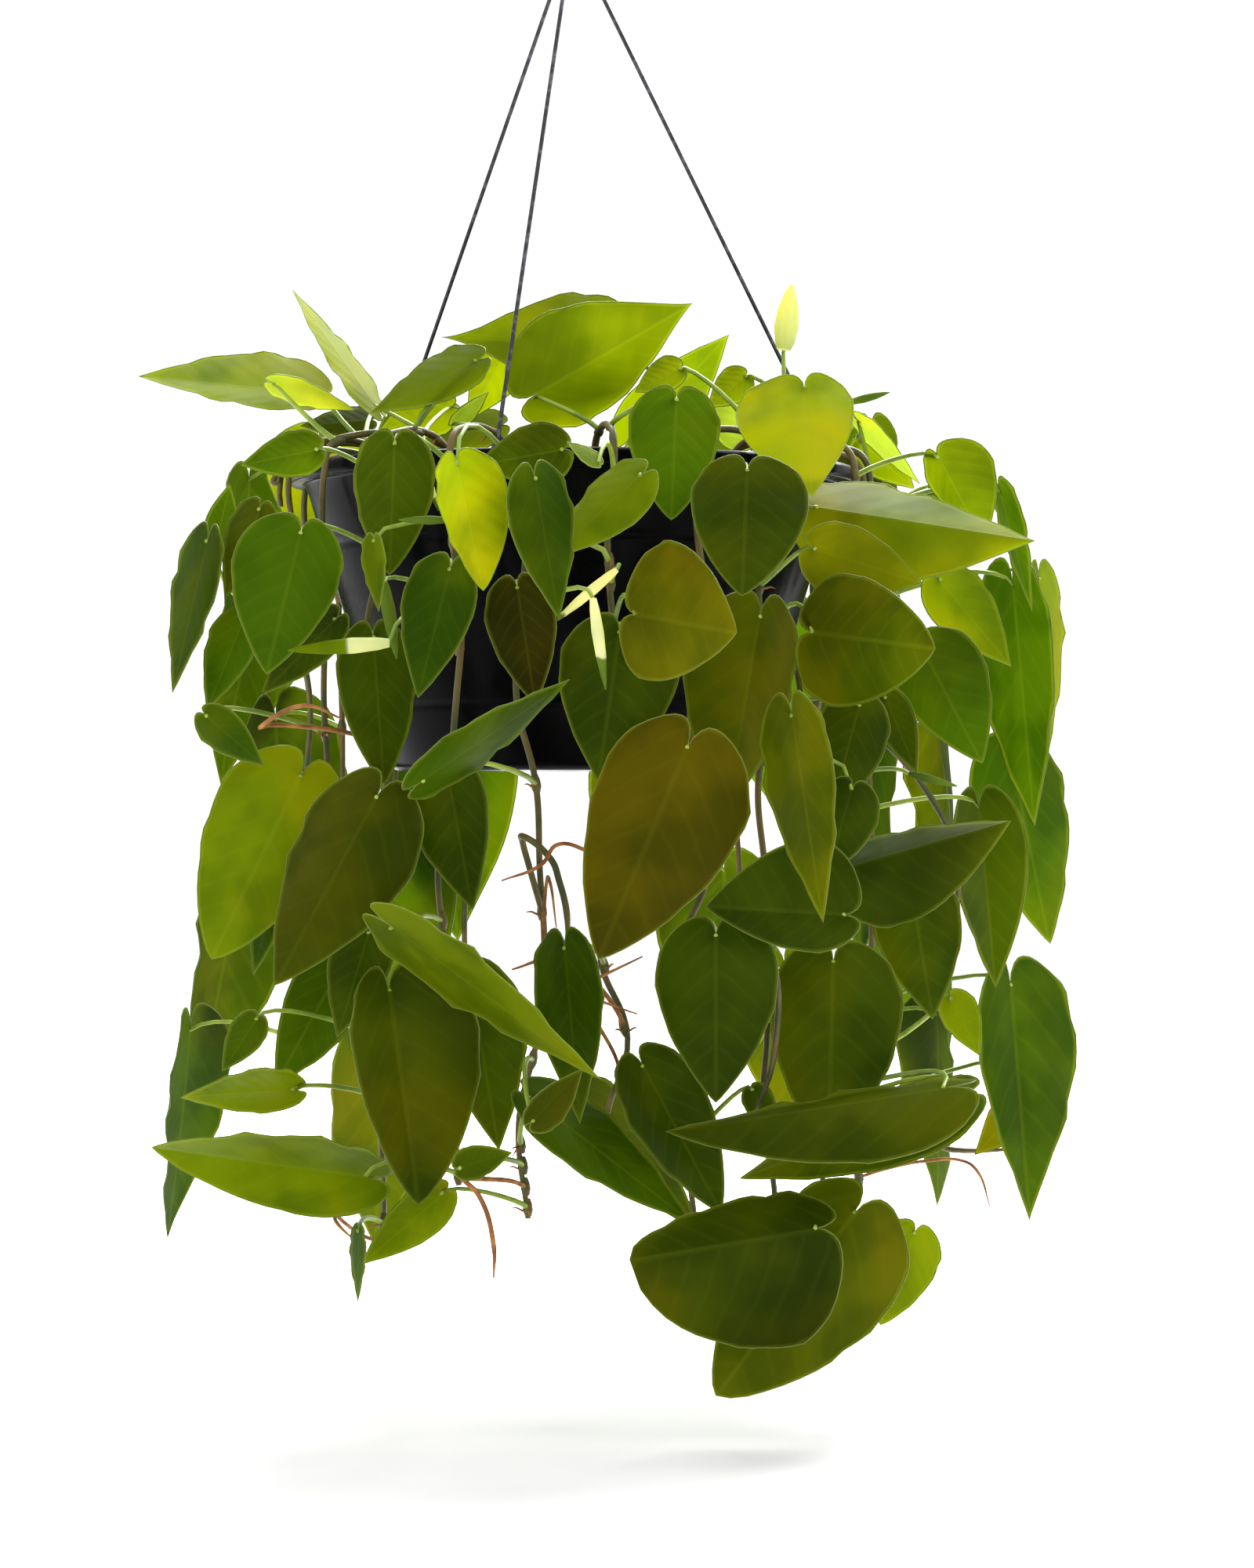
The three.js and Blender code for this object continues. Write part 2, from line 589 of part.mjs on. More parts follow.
function makeLeaves() {
  const leaves = [];
  const place = (leaf, start) => {
    leaf.clear = settle(leaf, start);
    leaves.push(leaf);
  };
  for (const row of FRONT_LEAVES) {
    const [u, h, tipU, tipH, wideA, wideB, side, near, , full] = row;
    place(leafOf([u, h], [tipU, tipH], [wideA, wideB], side, near, null, full), frontStart(row));
  }
  for (const [u, h, tipU, tipH, thick, layer] of ROLLED_LEAVES) {
    const leaf = leafOf([u, h], [tipU, tipH], [thick, thick], 0, 1, null);
    leaf.rolled = true;
    place(leaf, frontStart([u, h, tipU, tipH, 0, 0, 0, 0, layer]));
  }
  for (const [thick, layer, ...points] of SHOOTS) {
    const [u, h] = points[0];
    const shoot = { points, thick, rolled: true, frame: null, out: 0 };
    place(shoot, frontStart([u, h, points.at(-1)[0], 0, 0, 0, 0, 0, layer]));
  }
  for (const [height, first, step, count, length] of BACK_ROWS)
    for (let i = 0; i < count; i++) {
      const turn = first + step * i + draw(-1, 1) * BACK_SPREAD.turn;
      const long = length * (1 + draw(-1, 1) * BACK_SPREAD.long);
      const h = height + draw(-1, 1) * BACK_SPREAD.height;
      const tilt = degrees(draw(-1, 1) * BACK_SPREAD.tilt);
      const tip = [long * Math.sin(tilt), h - long * Math.cos(tilt)];
      const wide = [long * draw(0.3, 0.36), long * draw(0.3, 0.36)];
      const leaf = leafOf([0, h], tip, wide, draw(0, 1) < 0.5 ? 1 : -1, 1, turn);
      place(leaf, draw(BACK_ENVELOPE[0], BACK_ENVELOPE[1]));
    }
  return leaves;
}

const startOf = (leaf) =>
  leaf.points ? shootPoints(leaf) : [bladePoint(leaf, 0, 0), bladePoint(leaf, 0, 0.1)];

// A stalk leaves the back of its blade at the notch and bends round to a stem
function stalkPath(leaf, stem, place, lift, spread) {
  const [notch, next] = startOf(leaf);
  const back = notch.clone().sub(next).normalize();
  const behind = seen(leaf.frame, 0, 0, 0).sub(seen(leaf.frame, 0, 0, 1)).setZ(0).normalize();
  const end = stem.dots[place];
  const reach = notch.distanceTo(end);
  const first = notch.clone().addScaledVector(back, 0.1 * reach).addScaledVector(behind, 0.24 * reach);
  first.z += lift * reach;
  const last = end.clone().addScaledVector(new THREE.Vector3(end.x, end.y, 0).normalize(), spread * reach);
  last.z += 0.1 * reach;
  return new THREE.CubicBezierCurve3(notch, first, last, end).getPoints(STALK_STEPS);
}

function stalkClear(path, leaf, stem, clear) {
  const dots = dotsAlong(path, 3);
  const free = dots.filter((dot) => dot.distanceTo(path[0]) > 3);
  if (reachesPot(free.slice(0, -2), POT_RIM_R + 2, -3)) return false;
  const others = crowd.filter((one) => one.owner !== leaf && one.owner !== stem);
  if (touches(free, clear, others)) return false;
  const blade = crowd.filter((one) => one.owner === leaf);
  return !touches(dots.filter((dot) => dot.distanceTo(path[0]) > 6), OWN_CLEAR, blade);
}

// The stalk takes the first clear way to a stem near by
function attach(leaf, stems) {
  const [notch] = startOf(leaf);
  const ways = [];
  for (const stem of stems)
    for (let place = stem.first; place < stem.dots.length; place += 2) {
      const dot = stem.dots[place];
      const gap = dot.distanceTo(notch);
      if (gap < STALK_LONG[0] || gap > STALK_LONG[2]) continue;
      ways.push({ cost: Math.abs(gap - STALK_LONG[1]) + (dot.z > notch.z ? 8 : 0), stem, place });
    }
  ways.sort((a, b) => a.cost - b.cost);
  for (const clear of [STALK_CLEAR, 0.8 * STALK_CLEAR])
    for (const { stem, place } of ways)
      for (const [lift, spread] of STALK_BENDS) {
        const path = stalkPath(leaf, stem, place, lift, spread);
        if (!stalkClear(path, leaf, stem, clear)) continue;
        leaf.path = path;
        stem.leaves.push(leaf);
        stem.end = Math.max(stem.end, place);
        addCrowd(dotsAlong(path, 3), leaf, STALK_CLEAR);
        return true;
      }
  return false;
}

// A rolled young leaf on its stalk, or a shoot, is one tapered body
function rolledSolid(leaf) {
  const thick = leaf.thick ?? leaf.wide[0];
  const own = leaf.points
    ? shootPoints(leaf).reverse()
    : [0.95, 0.7, 0.35, 0.1].map((along) => bladePoint(leaf, 0, along));
  const radii = own.map((_, i) => thick * (i === 0 ? 0.6 : 1));
  if (!leaf.points) radii.splice(0, 4, 0.12 * thick, 0.6 * thick, thick, 0.6 * thick);
  const stalk = leaf.points ? leaf.path.slice(1) : leaf.path;
  for (let i = 0; i < stalk.length; i++) radii.push(leaf.points ? thick : PETIOLE_R);
  return solidOf(loft(ringsAlong([...own, ...stalk], radii, 4, new THREE.Vector3(0.3, 1, 0.2))));
}

// Where the rows of a blade's triangles lie, as shares of its length: fewer on small and far leaves
function bladeRows(leaf) {
  if (leaf.long < 42) return [0.5];
  return leaf.long > 76 && leaf.frame === null ? [0.3, 0.56, 0.82] : [0.42, 0.8];
}

// A blade and its stalk as one closed body: both faces of the blade have the same triangles, moved apart
// along its mean normal, and the stalk's first ring is the notch's own edge
function bladeSolid(leaf) {
  const rows = bladeRows(leaf);
  const places = [-1, -0.5, 0, 0, 0.5, 1].map((across) => [across, 0]);
  for (const along of rows) for (const across of [-1, 0, 1]) places.push([across, along]);
  places.push([0, 1]);
  const faces = [[0, 1, 6], [1, 7, 6], [1, 2, 7], [2, 3, 7], [3, 4, 7], [4, 8, 7], [4, 5, 8]];
  for (let row = 6; row + 4 < places.length; row += 3) {
    faces.push([row, row + 1, row + 4], [row, row + 4, row + 3]);
    faces.push([row + 1, row + 2, row + 4], [row + 2, row + 5, row + 4]);
  }
  const tip = places.length - 1;
  faces.push([tip - 3, tip - 2, tip], [tip - 2, tip - 1, tip]);
  const rim = [3, 4, 5];
  for (let row = 8; row < tip; row += 3) rim.push(row);
  rim.push(tip);
  for (let row = tip - 3; row > 5; row -= 3) rim.push(row);
  rim.push(0, 1, 2);
  const points = places.map(([across, along]) => bladePoint(leaf, across, along));
  const width = points[8].clone().sub(points[6]);
  const normal = width.clone().cross(points[tip].clone().sub(points[2])).normalize();
  width.normalize();
  points[2].addScaledVector(width, -PETIOLE_R);
  points[3].addScaledVector(width, PETIOLE_R);
  const half = normal.clone().multiplyScalar(BLADE_THICK / 2);
  const count = points.length;
  const index = [];
  for (const [a, b, c] of faces) index.push(a, b, c, a + count, c + count, b + count);
  for (let i = 0; i + 1 < rim.length; i++)
    index.push(rim[i + 1], rim[i], rim[i] + count, rim[i + 1], rim[i] + count, rim[i + 1] + count);
  const all = [...points.map((p) => p.clone().add(half)), ...points.map((p) => p.clone().sub(half))];
  const rings = ringsAlong(leaf.path, [PETIOLE_R], 4, width).slice(1);
  let edge = nearestOrder([3, 2, 2 + count, 3 + count], all, rings[0]);
  for (const ring of rings) {
    const next = ring.map((_, j) => all.length + j);
    all.push(...ring);
    for (let j = 0; j < 4; j++) {
      const k = (j + 1) % 4;
      index.push(edge[j], edge[k], next[k], edge[j], next[k], next[j]);
    }
    edge = next;
  }
  index.push(edge[0], edge[1], edge[2], edge[0], edge[2], edge[3]);
  return solidOf({ points: all, index });
}

// A ring's points are matched to an edge's, so that the skin between them isn't twisted
function nearestOrder(edge, points, ring) {
  let best = edge;
  let least = Infinity;
  for (let turn = 0; turn < 4; turn++) {
    const order = edge.map((_, j) => edge[(j + turn) % 4]);
    const total = order.reduce((sum, a, j) => sum + points[a].distanceToSquared(ring[j]), 0);
    if (total < least) [best, least] = [order, total];
  }
  return best;
}

function makeVine(stem, k) {
  const end = stem.dots[Math.min(stem.end + 1, stem.dots.length - 1)];
  const path = stem.path.filter((p, i) => i < 7 || p.z > end.z + 4);
  path.push(end.clone());
  const rings = ringsAlong(path, [STEM_R], 4, round(stem.turn + 90, 1, 0));
  const parts = [solidOf(loft(rings))];
  for (const leaf of stem.leaves) parts.push(leaf.rolled ? rolledSolid(leaf) : bladeSolid(leaf));
  return meshOf("vine_" + String(k + 1).padStart(2, "0"), join(parts), LEAF_GREEN);
}

function lipDots() {
  const dots = [];
  for (let turn = 0; turn < 360; turn += 3)
    dots.push(round(turn, POT_RIM_R - 1, RIM_Z - 3), round(turn, POT_RIM_R - 6, RIM_Z - 1));
  return dots;
}

const stems = makeStems();
stems.forEach((stem) => addCrowd(stem.dots, stem, BLADE_CLEAR));
for (const turn of WIRE_TURNS)
  addCrowd(dotsAlong([wireAt(turn, 0), ...wireHook(turn)], 4), "wire", STALK_CLEAR);
addCrowd(lipDots(), "lip", STALK_CLEAR - 0.6);
const leaves = makeLeaves();
leaves.forEach((leaf) => (leaf.held = attach(leaf, stems)));

const plant = new THREE.Group();
plant.add(makePot(), makeSoil(stems), ...makeHanger());
stems.forEach((stem, k) => plant.add(makeVine(stem, k)));
export default plant;
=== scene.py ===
"""Golden heartleaf philodendron in a hanging pot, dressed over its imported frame."""
import math
from functools import partial
from types import SimpleNamespace

import bmesh
import bpy
import numpy as np
from mathutils import Matrix, Vector, noise


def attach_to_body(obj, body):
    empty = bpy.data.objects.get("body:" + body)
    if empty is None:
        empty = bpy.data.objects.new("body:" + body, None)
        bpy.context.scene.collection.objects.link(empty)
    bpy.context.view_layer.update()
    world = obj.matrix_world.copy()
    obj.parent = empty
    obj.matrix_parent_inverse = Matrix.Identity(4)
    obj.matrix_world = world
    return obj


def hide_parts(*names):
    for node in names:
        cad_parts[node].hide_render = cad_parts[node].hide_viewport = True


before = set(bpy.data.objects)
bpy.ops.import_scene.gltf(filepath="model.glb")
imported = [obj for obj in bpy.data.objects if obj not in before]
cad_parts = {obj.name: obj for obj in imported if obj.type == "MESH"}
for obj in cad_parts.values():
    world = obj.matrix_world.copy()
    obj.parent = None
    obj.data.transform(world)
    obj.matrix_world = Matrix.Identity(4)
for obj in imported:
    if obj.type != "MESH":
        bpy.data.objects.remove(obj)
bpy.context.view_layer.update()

bl_info = {
    "name": "Hanging heartleaf philodendron",
    "version": (1, 0, 0),
    "blender": (4, 5, 0),
    "location": "3D View > Sidebar > Plant",
    "description": "Leaves, stems, pot, soil and hanger of a trailing house plant",
    "category": "Object",
}

MM = 0.001  # the layout below is in millimetres, as the solids are, and the meshes are in metres

# Driving dimensions of the hanger and the pot, as in the solids
APEX_DROP = 60
RIM_DROP = 205
RIM_Z = -APEX_DROP - RIM_DROP
POT_RIM_R = 109
POT_LIP = 7
POT_LIP_DEEP = 6
POT_BASE_R = 70
POT_DEEP = 115
POT_WALL = 2.2
DRAIN_HOLES = 6
DRAIN_R = 4.5
DRAIN_RING_R = 38
SOIL_BELOW_RIM = 12
SOIL_CROWN = 3
WIRE_R = 0.8
WIRE_TURNS = [105.5, 225.5, 345.5]
WIRE_HOLE_R = 1.7
WIRE_RING_R = 104.5
WIRE_TOP = 0.024
WIRE_KNEE = 6
J_R = 3.4
J_DROP = 4.4
HOOK_R = 13.5
HOOK_WIRE_R = 1.5
FERRULE_R = (9, 5)
FERRULE_LONG = 22

# Driving dimensions of the plant, as in the solids
VIEW = 1500
EYE_Z = RIM_Z - 120
STEMS = 24
STEM_R = 1.3
STEM_RING_R = 114
SOIL_RING_R = (60, 72)
PETIOLE_R = (0.72, 1.05)  # at the blade and at the stem
LOBE = 0.12
WIDEST = 0.22
FULL = 0.65
LEAF_INSIDE_R = 121.5
BLADE_CLEAR = 5.6
STALK_CLEAR = 5
OWN_CLEAR = 2.2
STALK_LONG = (8, 34, 95)
LIFTS = (0.08, 0.25, -0.1, 0.45)
SPREADS = (0.25, 0.08, 0.45)
LAYER = 9
BARREL_R = 174
CROWN_R = 112
FIRST_DRAW = 71

# Leaves as they show from the front, the nearest first: the notch across and up from the rim's middle, the
# tip across and up, the widths on the two sides of the midrib, which side is nearer, whether the tip comes
# nearer, how many layers behind the front and, for some, how full the blade is
FRONT_LEAVES = [
    [-14, 29, 46, 64, 25, 19, 1, 1, 0, 0.75],
    [-44, 2, -34, -46, 17, 10, 1, 1, 0, 0.5],
    [44, -106, 10, -187, 32, 27, 1, 1, 0, 0.5],
    [24, -55, 63, -62, 30, 24, -1, 1, 0, 0.5],
    [89, 32, 92, -10, 18, 27, 1, 1, 0],
    [94, -14, 177, -27, 12, 26, -1, 1, 0],
    [92, -62, 139, -68, 24, 27, 1, 1, 0, 0.45],
    [72, -56, 59, -132, 17, 26, -1, 1, 1, 0.6],
    [67, 0, 65, -48, 24, 21, 1, 1, 1, 0.5],
    [84, -94, 96, -173, 13, 14, 1, 1, 1],
    [40, 27, 38, -19, 17, 18, -1, 1, 1, 0.5],
    [-69, -175, 11, -233, 11, 10, 1, 1, 0, 0.7],
    [-70, -199, -59, -281, 32, 17, -1, 1, 0, 0.45],
    [-75, -125, -114, -197, 26, 20, 1, 1, 0, 0.55],
    [-104, -117, -138, -187, 24, 26, 1, 1, 3, 0.45],
    [-104, -24, -117, -78, 19, 23, -1, 1, 0, 0.55],
    [-97, 13, -98, -32, 19, 20, 1, 1, 0, 0.6],
    [-47, -38, -59, -87, 13, 15, 1, 1, 1, 0.6],
    [-14, -3, -5, -57, 12, 13, -1, 1, 0],
    [26, -2, -9, -34, 12, 10, 1, 1, 1],
    [-57, -119, -1, -80, 9, 8, 1, 1, 0],
    [142, -236, 36, -253, 24, 4, 1, 1, 0, 0.55],
    [100, -188, 98, -258, 27, 24, 1, 1, 1, 0.45],
    [93, -290, 22, -302, 43, 16, 1, 1, 0, 0.28],
    [108, -284, 55, -354, 33, 24, 1, 1, 1, 0.42],
    [131, -292, 118, -327, 13, 14, -1, 1, 2, 0.5],
    [104, -152, 168, -134, 8, 27, -1, 1, 1, 0.6],
    [104, -170, 51, -167, 15, 28, 1, 1, 1, 0.55],
    [18, -62, 10, -119, 25, 21, 1, 1, 1, 0.6],
    [-21, -45, -14, -90, 13, 14, 1, 1, 1, 0.6],
    [-68, 10, -70, -40, 16, 15, 1, 1, 3, 0.5],
    [22, 12, 60, 52, 12, 14, 1, 1, 4],
    [20, 47, -50, 51, 17, 20, 1, -1, 5, 1],
    [-47, 24, -74, 15, 9, 11, 1, 1, 1],
    [-37, 42, -77, 22, 9, 9, 1, 1, 3],
    [-100, 29, -166, 36, 7, 14, 1, 1, 2],
    [-76, 25, -107, 69, 5, 5, 1, 1, 1],
    [-114, 33, -83, 23, 5, 5, 1, 1, 0],
    [-78, 19, -104, 17, 6, 6, 1, 1, 3],
    [-45, 18, -32, 30, 3, 4, 1, 1, 1],
    [-98, 8, -127, 2, 9, 9, 1, 1, 2],
    [140, 5, 158, -28, 18, 8, 1, 1, 3, 0.6],
    [164, -8, 176, -54, 6, 4, 1, 1, 0],
    [93, -30, 134, -43, 13, 15, 1, 1, 1, 0.6],
    [111, 11, 131, -7, 8, 8, 1, -1, 3],
    [110, 19, 133, -5, 4, 4, 1, 1, 2],
    [169, -44, 177, -136, 13, 17, 1, 1, 0, 0.6],
    [179, -42, 182, -110, 8, 7, -1, -1, 2],
    [168, -108, 183, -181, 17, 19, -1, 1, 0, 0.55],
    [156, -129, 162, -198, 17, 12, 1, -1, 2, 0.6],
    [134, -68, 157, -112, 19, 16, 1, 1, 1, 0.55],
    [141, -42, 168, -75, 12, 12, -1, 1, 2],
    [120, -87, 132, -116, 8, 8, 1, 1, 2],
    [110, -90, 98, -134, 14, 14, 1, 1, 3, 0.6],
    [130, -160, 138, -210, 17, 17, -1, 1, 2, 0.6],
    [107, -122, 97, -156, 13, 12, -1, 1, 3, 0.6],
    [141, -151, 143, -166, 3, 3, 1, 1, 1],
    [145, -202, 156, -224, 8, 7, 1, 1, 2],
    [168, -197, 175, -287, 23, 14, -1, 1, 0, 0.7],
    [180, -235, 154, -262, 11, 10, 1, 1, 2],
    [147, -240, 64, -271, 17, 12, 1, 1, 2, 0.6],
    [27, -228, 57, -284, 17, 15, 1, 1, 1, 0.5],
    [3, -240, 49, -291, 14, 14, -1, 1, 2],
    [-14, -241, 46, -288, 13, 12, -1, 1, 1, 0.6],
    [-3, -183, 3, -250, 13, 13, 1, 1, 2],
    [-15, -249, 4, -229, 6, 8, 1, 1, 0],
    [55, -178, 55, -242, 24, 23, 1, 1, 2, 0.55],
    [69, -237, 78, -253, 6, 6, 1, 1, 2],
    [-48, -114, -38, -168, 13, 18, 1, 1, 2, 0.6],
    [-39, -195, -28, -260, 18, 16, -1, 1, 3, 0.6],
    [-78, -177, -90, -217, 12, 12, 1, 1, 3],
    [-79, -270, -161, -259, 18, 12, 1, 1, 0, 0.5],
    [-107, -237, -150, -240, 8, 9, 1, 1, 1],
    [-121, -210, -134, -230, 7, 7, 1, 1, 1],
    [-87, -187, -114, -236, 16, 14, -1, 1, 2, 0.6],
    [-50, -277, -81, -304, 10, 9, 1, 1, 1],
    [-82, -291, -82, -318, 3, 3, 1, 1, 1],
    [-43, -267, -23, -261, 7, 6, 1, 1, 1],
    [-116, -168, -122, -193, 5, 5, 1, 1, 2],
    [-76, -64, -72, -120, 15, 15, -1, 1, 2, 0.5],
    [-91, -57, -119, -86, 9, 10, 1, 1, 2],
    [-76, -27, -74, -54, 4, 5, 1, 1, 1],
    [-140, -27, -153, -85, 8, 9, 1, 1, 1],
    [-136, -27, -131, -5, 6, 7, 1, 1, 2],
    [-120, -15, -133, -49, 10, 9, 1, 1, 2],
    [-126, -57, -140, -92, 9, 10, 1, 1, 1],
    [-140, -94, -118, -113, 8, 8, 1, 1, 1],
    [-4, 8, -37, 2, 12, 12, 1, 1, 3],
    [-28, 17, -59, 10, 7, 8, 1, 1, 3],
    [10, 3, -2, 11, 3, 3, 1, 1, 2],
    [41, 39, 24, 30, 6, 7, 1, 1, 3],
    [66, 36, 52, 24, 7, 7, 1, 1, 3],
    [-22, 52, -40, 19, 12, 10, 1, 1, 3],
    [69, 12, 58, 36, 12, 10, 1, 1, 3],
]

# Rolled young leaves: base and point across and up, how thick and how many layers behind the front
ROLLED_LEAVES = [
    [81, 46, 84, 72, 4.6, 3],
    [17, -38, -8, -59, 1.9, 0],
    [8, -49, 13, -85, 2.1, 0],
    [-70, -66, -110, -69, 2.8, 0],
    [-72, -43, -67, -73, 2.5, 0],
    [106, 26, 122, 30, 1.6, 2],
    [129, -116, 148, -121, 1.6, 1],
    [-48, -19, -67, -19, 1.6, 1],
    [-58, 5, -51, -16, 1.6, 0],
]

# Stems and roots that show between the leaves: how thick and how many layers behind the front, then points
SHOOTS = [
    [1.3, 5, [-19, -140], [-8, -149], [-5, -157], [-2, -170], [-2, -184]],
    [0.8, 4, [-12, -151], [-27, -157]],
    [0.7, 4, [-9, -156], [-6, -175]],
    [1, 5, [-5, -186], [-23, -191]],
    [0.8, 4, [4, -197], [27, -186]],
    [0.8, 4, [4, -202], [25, -208]],
    [1.3, 2, [115, -102], [144, -137], [148, -158], [136, -202]],
    [1.3, 3, [74, -180], [77, -225], [65, -256]],
    [1.3, 2, [146, -260], [181, -259]],
    [0.7, 2, [155, -268], [160, -282]],
    [1, 1, [-42, -271], [-36, -277], [-30, -297], [-30, -309]],
    [0.8, 1, [-90, -288], [-83, -295]],
    [0.9, 1, [-119, -98], [-103, -90], [-88, -95]],
]

# Rows of leaves round the sides and the back: height of the notch above the rim, degrees of the first leaf
# from the front, degrees between leaves, their number and their length
BACK_ROWS = [
    [30, 134, 36, 3, 66],
    [4, 104, 31, 5, 74],
    [-46, 116, 30, 5, 84],
    [-100, 98, 30, 3, 88],
    [-100, 208, 28, 2, 88],
    [-156, 116, 36, 2, 90],
    [-156, 210, 28, 2, 90],
    [-204, 108, 36, 2, 74],
    [-214, 210, 34, 2, 84],
]
BACK_SPREAD = SimpleNamespace(turn=8, height=9, long=0.14, tilt=16)
BACK_ENVELOPE = (150, 172)

# One letter a leaf for its colour, in the order of the rows above: from lime (l, y) through olive (v, m, k)
# and bronze (o, q) to deep green (g, d, e), with pale young leaves (p, x). The darker tones are partly the
# leaves' own colour and partly painted shade, given to leaves that lie behind or under others
TONES = {
    "l": "667703", "y": "899c03", "o": "585003", "q": "5a5b03", "k": "3c4903", "m": "495303", "d": "344503",
    "g": "375203", "v": "5a6d03", "b": "687c03", "p": "7d943a", "e": "334a03", "w": "2c2d03", "x": "c5cdb4",
}
FRONT_TONES = (
    "lyoqylkmdm glkkvgbggb gkdkmldddw dbllblppdp gvgllpgbgd gbddddpleq dddeemdedd dvveelgved dveedggdvp bbyp"
).replace(" ", "")
ROLLED_TONES = "xppyppppp"
# The leaves round the sides and the back get only dark tones, as painted shade
BACK_SHADE_TONES = "dedekdg"

# A blade's finer columns and rows: closer together at the midrib, the edge, the notch and the tip
COLUMNS = 8
ROWS = np.array((0, 0.014, 0.05, 0.1, 0.16, *np.arange(23, 80, 7) / 100, 0.86, 0.92, 0.97, 1))
STEPS = np.arange(-COLUMNS, COLUMNS + 1) / COLUMNS
ACROSS = np.sign(STEPS) * 0.5 * (1 - np.cos(np.pi * np.abs(STEPS)))


class Draws:
    """Seeded draws, the same on every run."""

    def __init__(self, first):
        self.drawn = first

    def __call__(self, low, high):
        self.drawn = (self.drawn * 1664525 + 1013904223) % 4294967296
        return low + (high - low) * self.drawn / 4294967296


def ring(turn, r, z):
    """A point on a ring round the pot's axis, so many degrees from the front."""
    a = turn * math.pi / 180
    return np.array((r * math.sin(a), -r * math.cos(a), z))


def dots_along(path, step):
    """Points at even steps along straight stretches."""
    dots = []
    for a, b in zip(path, path[1:]):
        count = math.ceil(np.linalg.norm(b - a) / step)
        dots += [a + (b - a) * j / count for j in range(count)]
    return np.array(dots + [path[-1]])


def stem_path(k, draw):
    """A stem's way out of the soil, over the rim and down."""
    turn = 360 / STEMS * (k + 0.5)
    foot = SOIL_RING_R[k % 2]
    path = [ring(turn, foot, RIM_Z - 30), ring(turn, foot, RIM_Z - 7), ring(turn, foot + 5, RIM_Z + 4)]
    path += [ring(turn, foot + 14, RIM_Z + 8), ring(turn, STEM_RING_R - 11, RIM_Z + 7.5)]
    path += [ring(turn, STEM_RING_R - 3, RIM_Z + 4), ring(turn, STEM_RING_R, RIM_Z - 6)]
    for z in range(-30, -330, -30):
        sway = turn + draw(-2.6, 2.6)
        path.append(ring(sway, STEM_RING_R + draw(-1.5, 1.5), RIM_Z + z))
    return path


def make_stems(draw):
    stems = []
    for k in range(STEMS):
        path = stem_path(k, draw)
        dots = dots_along(path, 4)
        first = int(np.argmax(dots[:, 2] > RIM_Z + 5))
        stems.append(SimpleNamespace(path=path, dots=dots, leaves=[], first=first, end=first + 14))
    return stems


def profile(s, full):
    """How wide a blade is, so far along."""
    taper = np.clip(0.5 + 0.5 * np.cos(np.pi * (s - WIDEST) / (1 - WIDEST)), 0, None) ** full
    return np.where(s < WIDEST, 1 - 4.5 * (WIDEST - s) ** 2, taper)


def seen(turn, u, h, out):
    """Points seen across and up from the rim's middle, so far out from the axis, in the part's own frame."""
    if turn is None:
        scale = 1 - out / VIEW
        return np.stack(np.broadcast_arrays(u * scale, -out, EYE_Z + (RIM_Z + h - EYE_Z) * scale), -1)
    a = turn * math.pi / 180
    x = u * math.cos(a) + out * math.sin(a)
    y = u * math.sin(a) - out * math.cos(a)
    return np.stack(np.broadcast_arrays(x, y, RIM_Z + h), -1)


def leaf_of(at, tip, wide, side, near, turn, draw, full=FULL):
    long = math.hypot(tip[0] - at[0], tip[1] - at[1])
    ahead = ((tip[0] - at[0]) / long, (tip[1] - at[1]) / long)
    as_if_flat = (wide[0] + wide[1]) / 0.86
    foreshortened = math.sqrt(max(0, as_if_flat ** 2 - long ** 2))
    lean = near * (0.12 * long + min(foreshortened, 0.8 * long))
    real = math.hypot(long, lean)
    hidden = [min(math.sqrt(max(0, (0.3 * real) ** 2 - w ** 2)), 0.9 * real) for w in wide]
    sides = {1: (1, -1), -1: (-1, 1), 2: (1, 1), -2: (-1, -1), 0: (0, 0)}[side]
    turns = (hidden[0] * sides[0], hidden[1] * sides[1])
    wave = draw(0, 6.28)
    arch = draw(-0.16, 0.05) * real
    shape = {"at": at, "long": long, "ahead": ahead, "wide": wide, "turns": turns, "lean": lean, "wave": wave}
    shape |= {"arch": arch, "real": real, "turn": turn, "full": full}
    return SimpleNamespace(**shape, out=0.0, points=None, rolled=False, path=None)


def heart_places(leaf, across, along):
    """Where points of a blade lie on it: their share of the way along, and of its half width."""
    share = np.abs(across)
    back = -LOBE * np.sqrt(np.clip(1 - np.abs(2 * share - 1) ** 2.5, 0, None))
    s = back + (1 - back) * along
    return s, share * profile(np.minimum(s, 1), leaf.full)


def blade_point(leaf, across, along):
    """The heart drawn across a leaf's own view, with a depth at each point."""
    across, along = np.asarray(across, float), np.asarray(along, float)
    s, reach = heart_places(leaf, across, along)
    wide = np.where(across > 0, leaf.wide[0], leaf.wide[1])
    turned = np.where(across > 0, leaf.turns[0], leaf.turns[1])
    sideways = np.sign(across) * reach * wide
    u = leaf.at[0] + leaf.ahead[0] * s * leaf.long - leaf.ahead[1] * sideways
    h = leaf.at[1] + leaf.ahead[1] * s * leaf.long + leaf.ahead[0] * sideways
    bend = leaf.arch * s * s - 0.09 * leaf.real * reach * reach
    ripple = 0.02 * leaf.real * np.sin(9 * s + leaf.wave) * reach * reach
    return seen(leaf.turn, u, h, leaf.out + leaf.lean * s + turned * reach + bend + ripple)


def shoot_points(leaf):
    return np.array([seen(None, u, h, leaf.out) for u, h in leaf.points])


def dots_of(leaf):
    """The points of a leaf or a shoot that others keep clear of."""
    if leaf.points:
        return dots_along(shoot_points(leaf), 3)
    across, along = np.meshgrid(np.arange(-5, 6) / 5, np.arange(13) / 12, indexing="ij")
    return blade_point(leaf, across.ravel(), along.ravel())


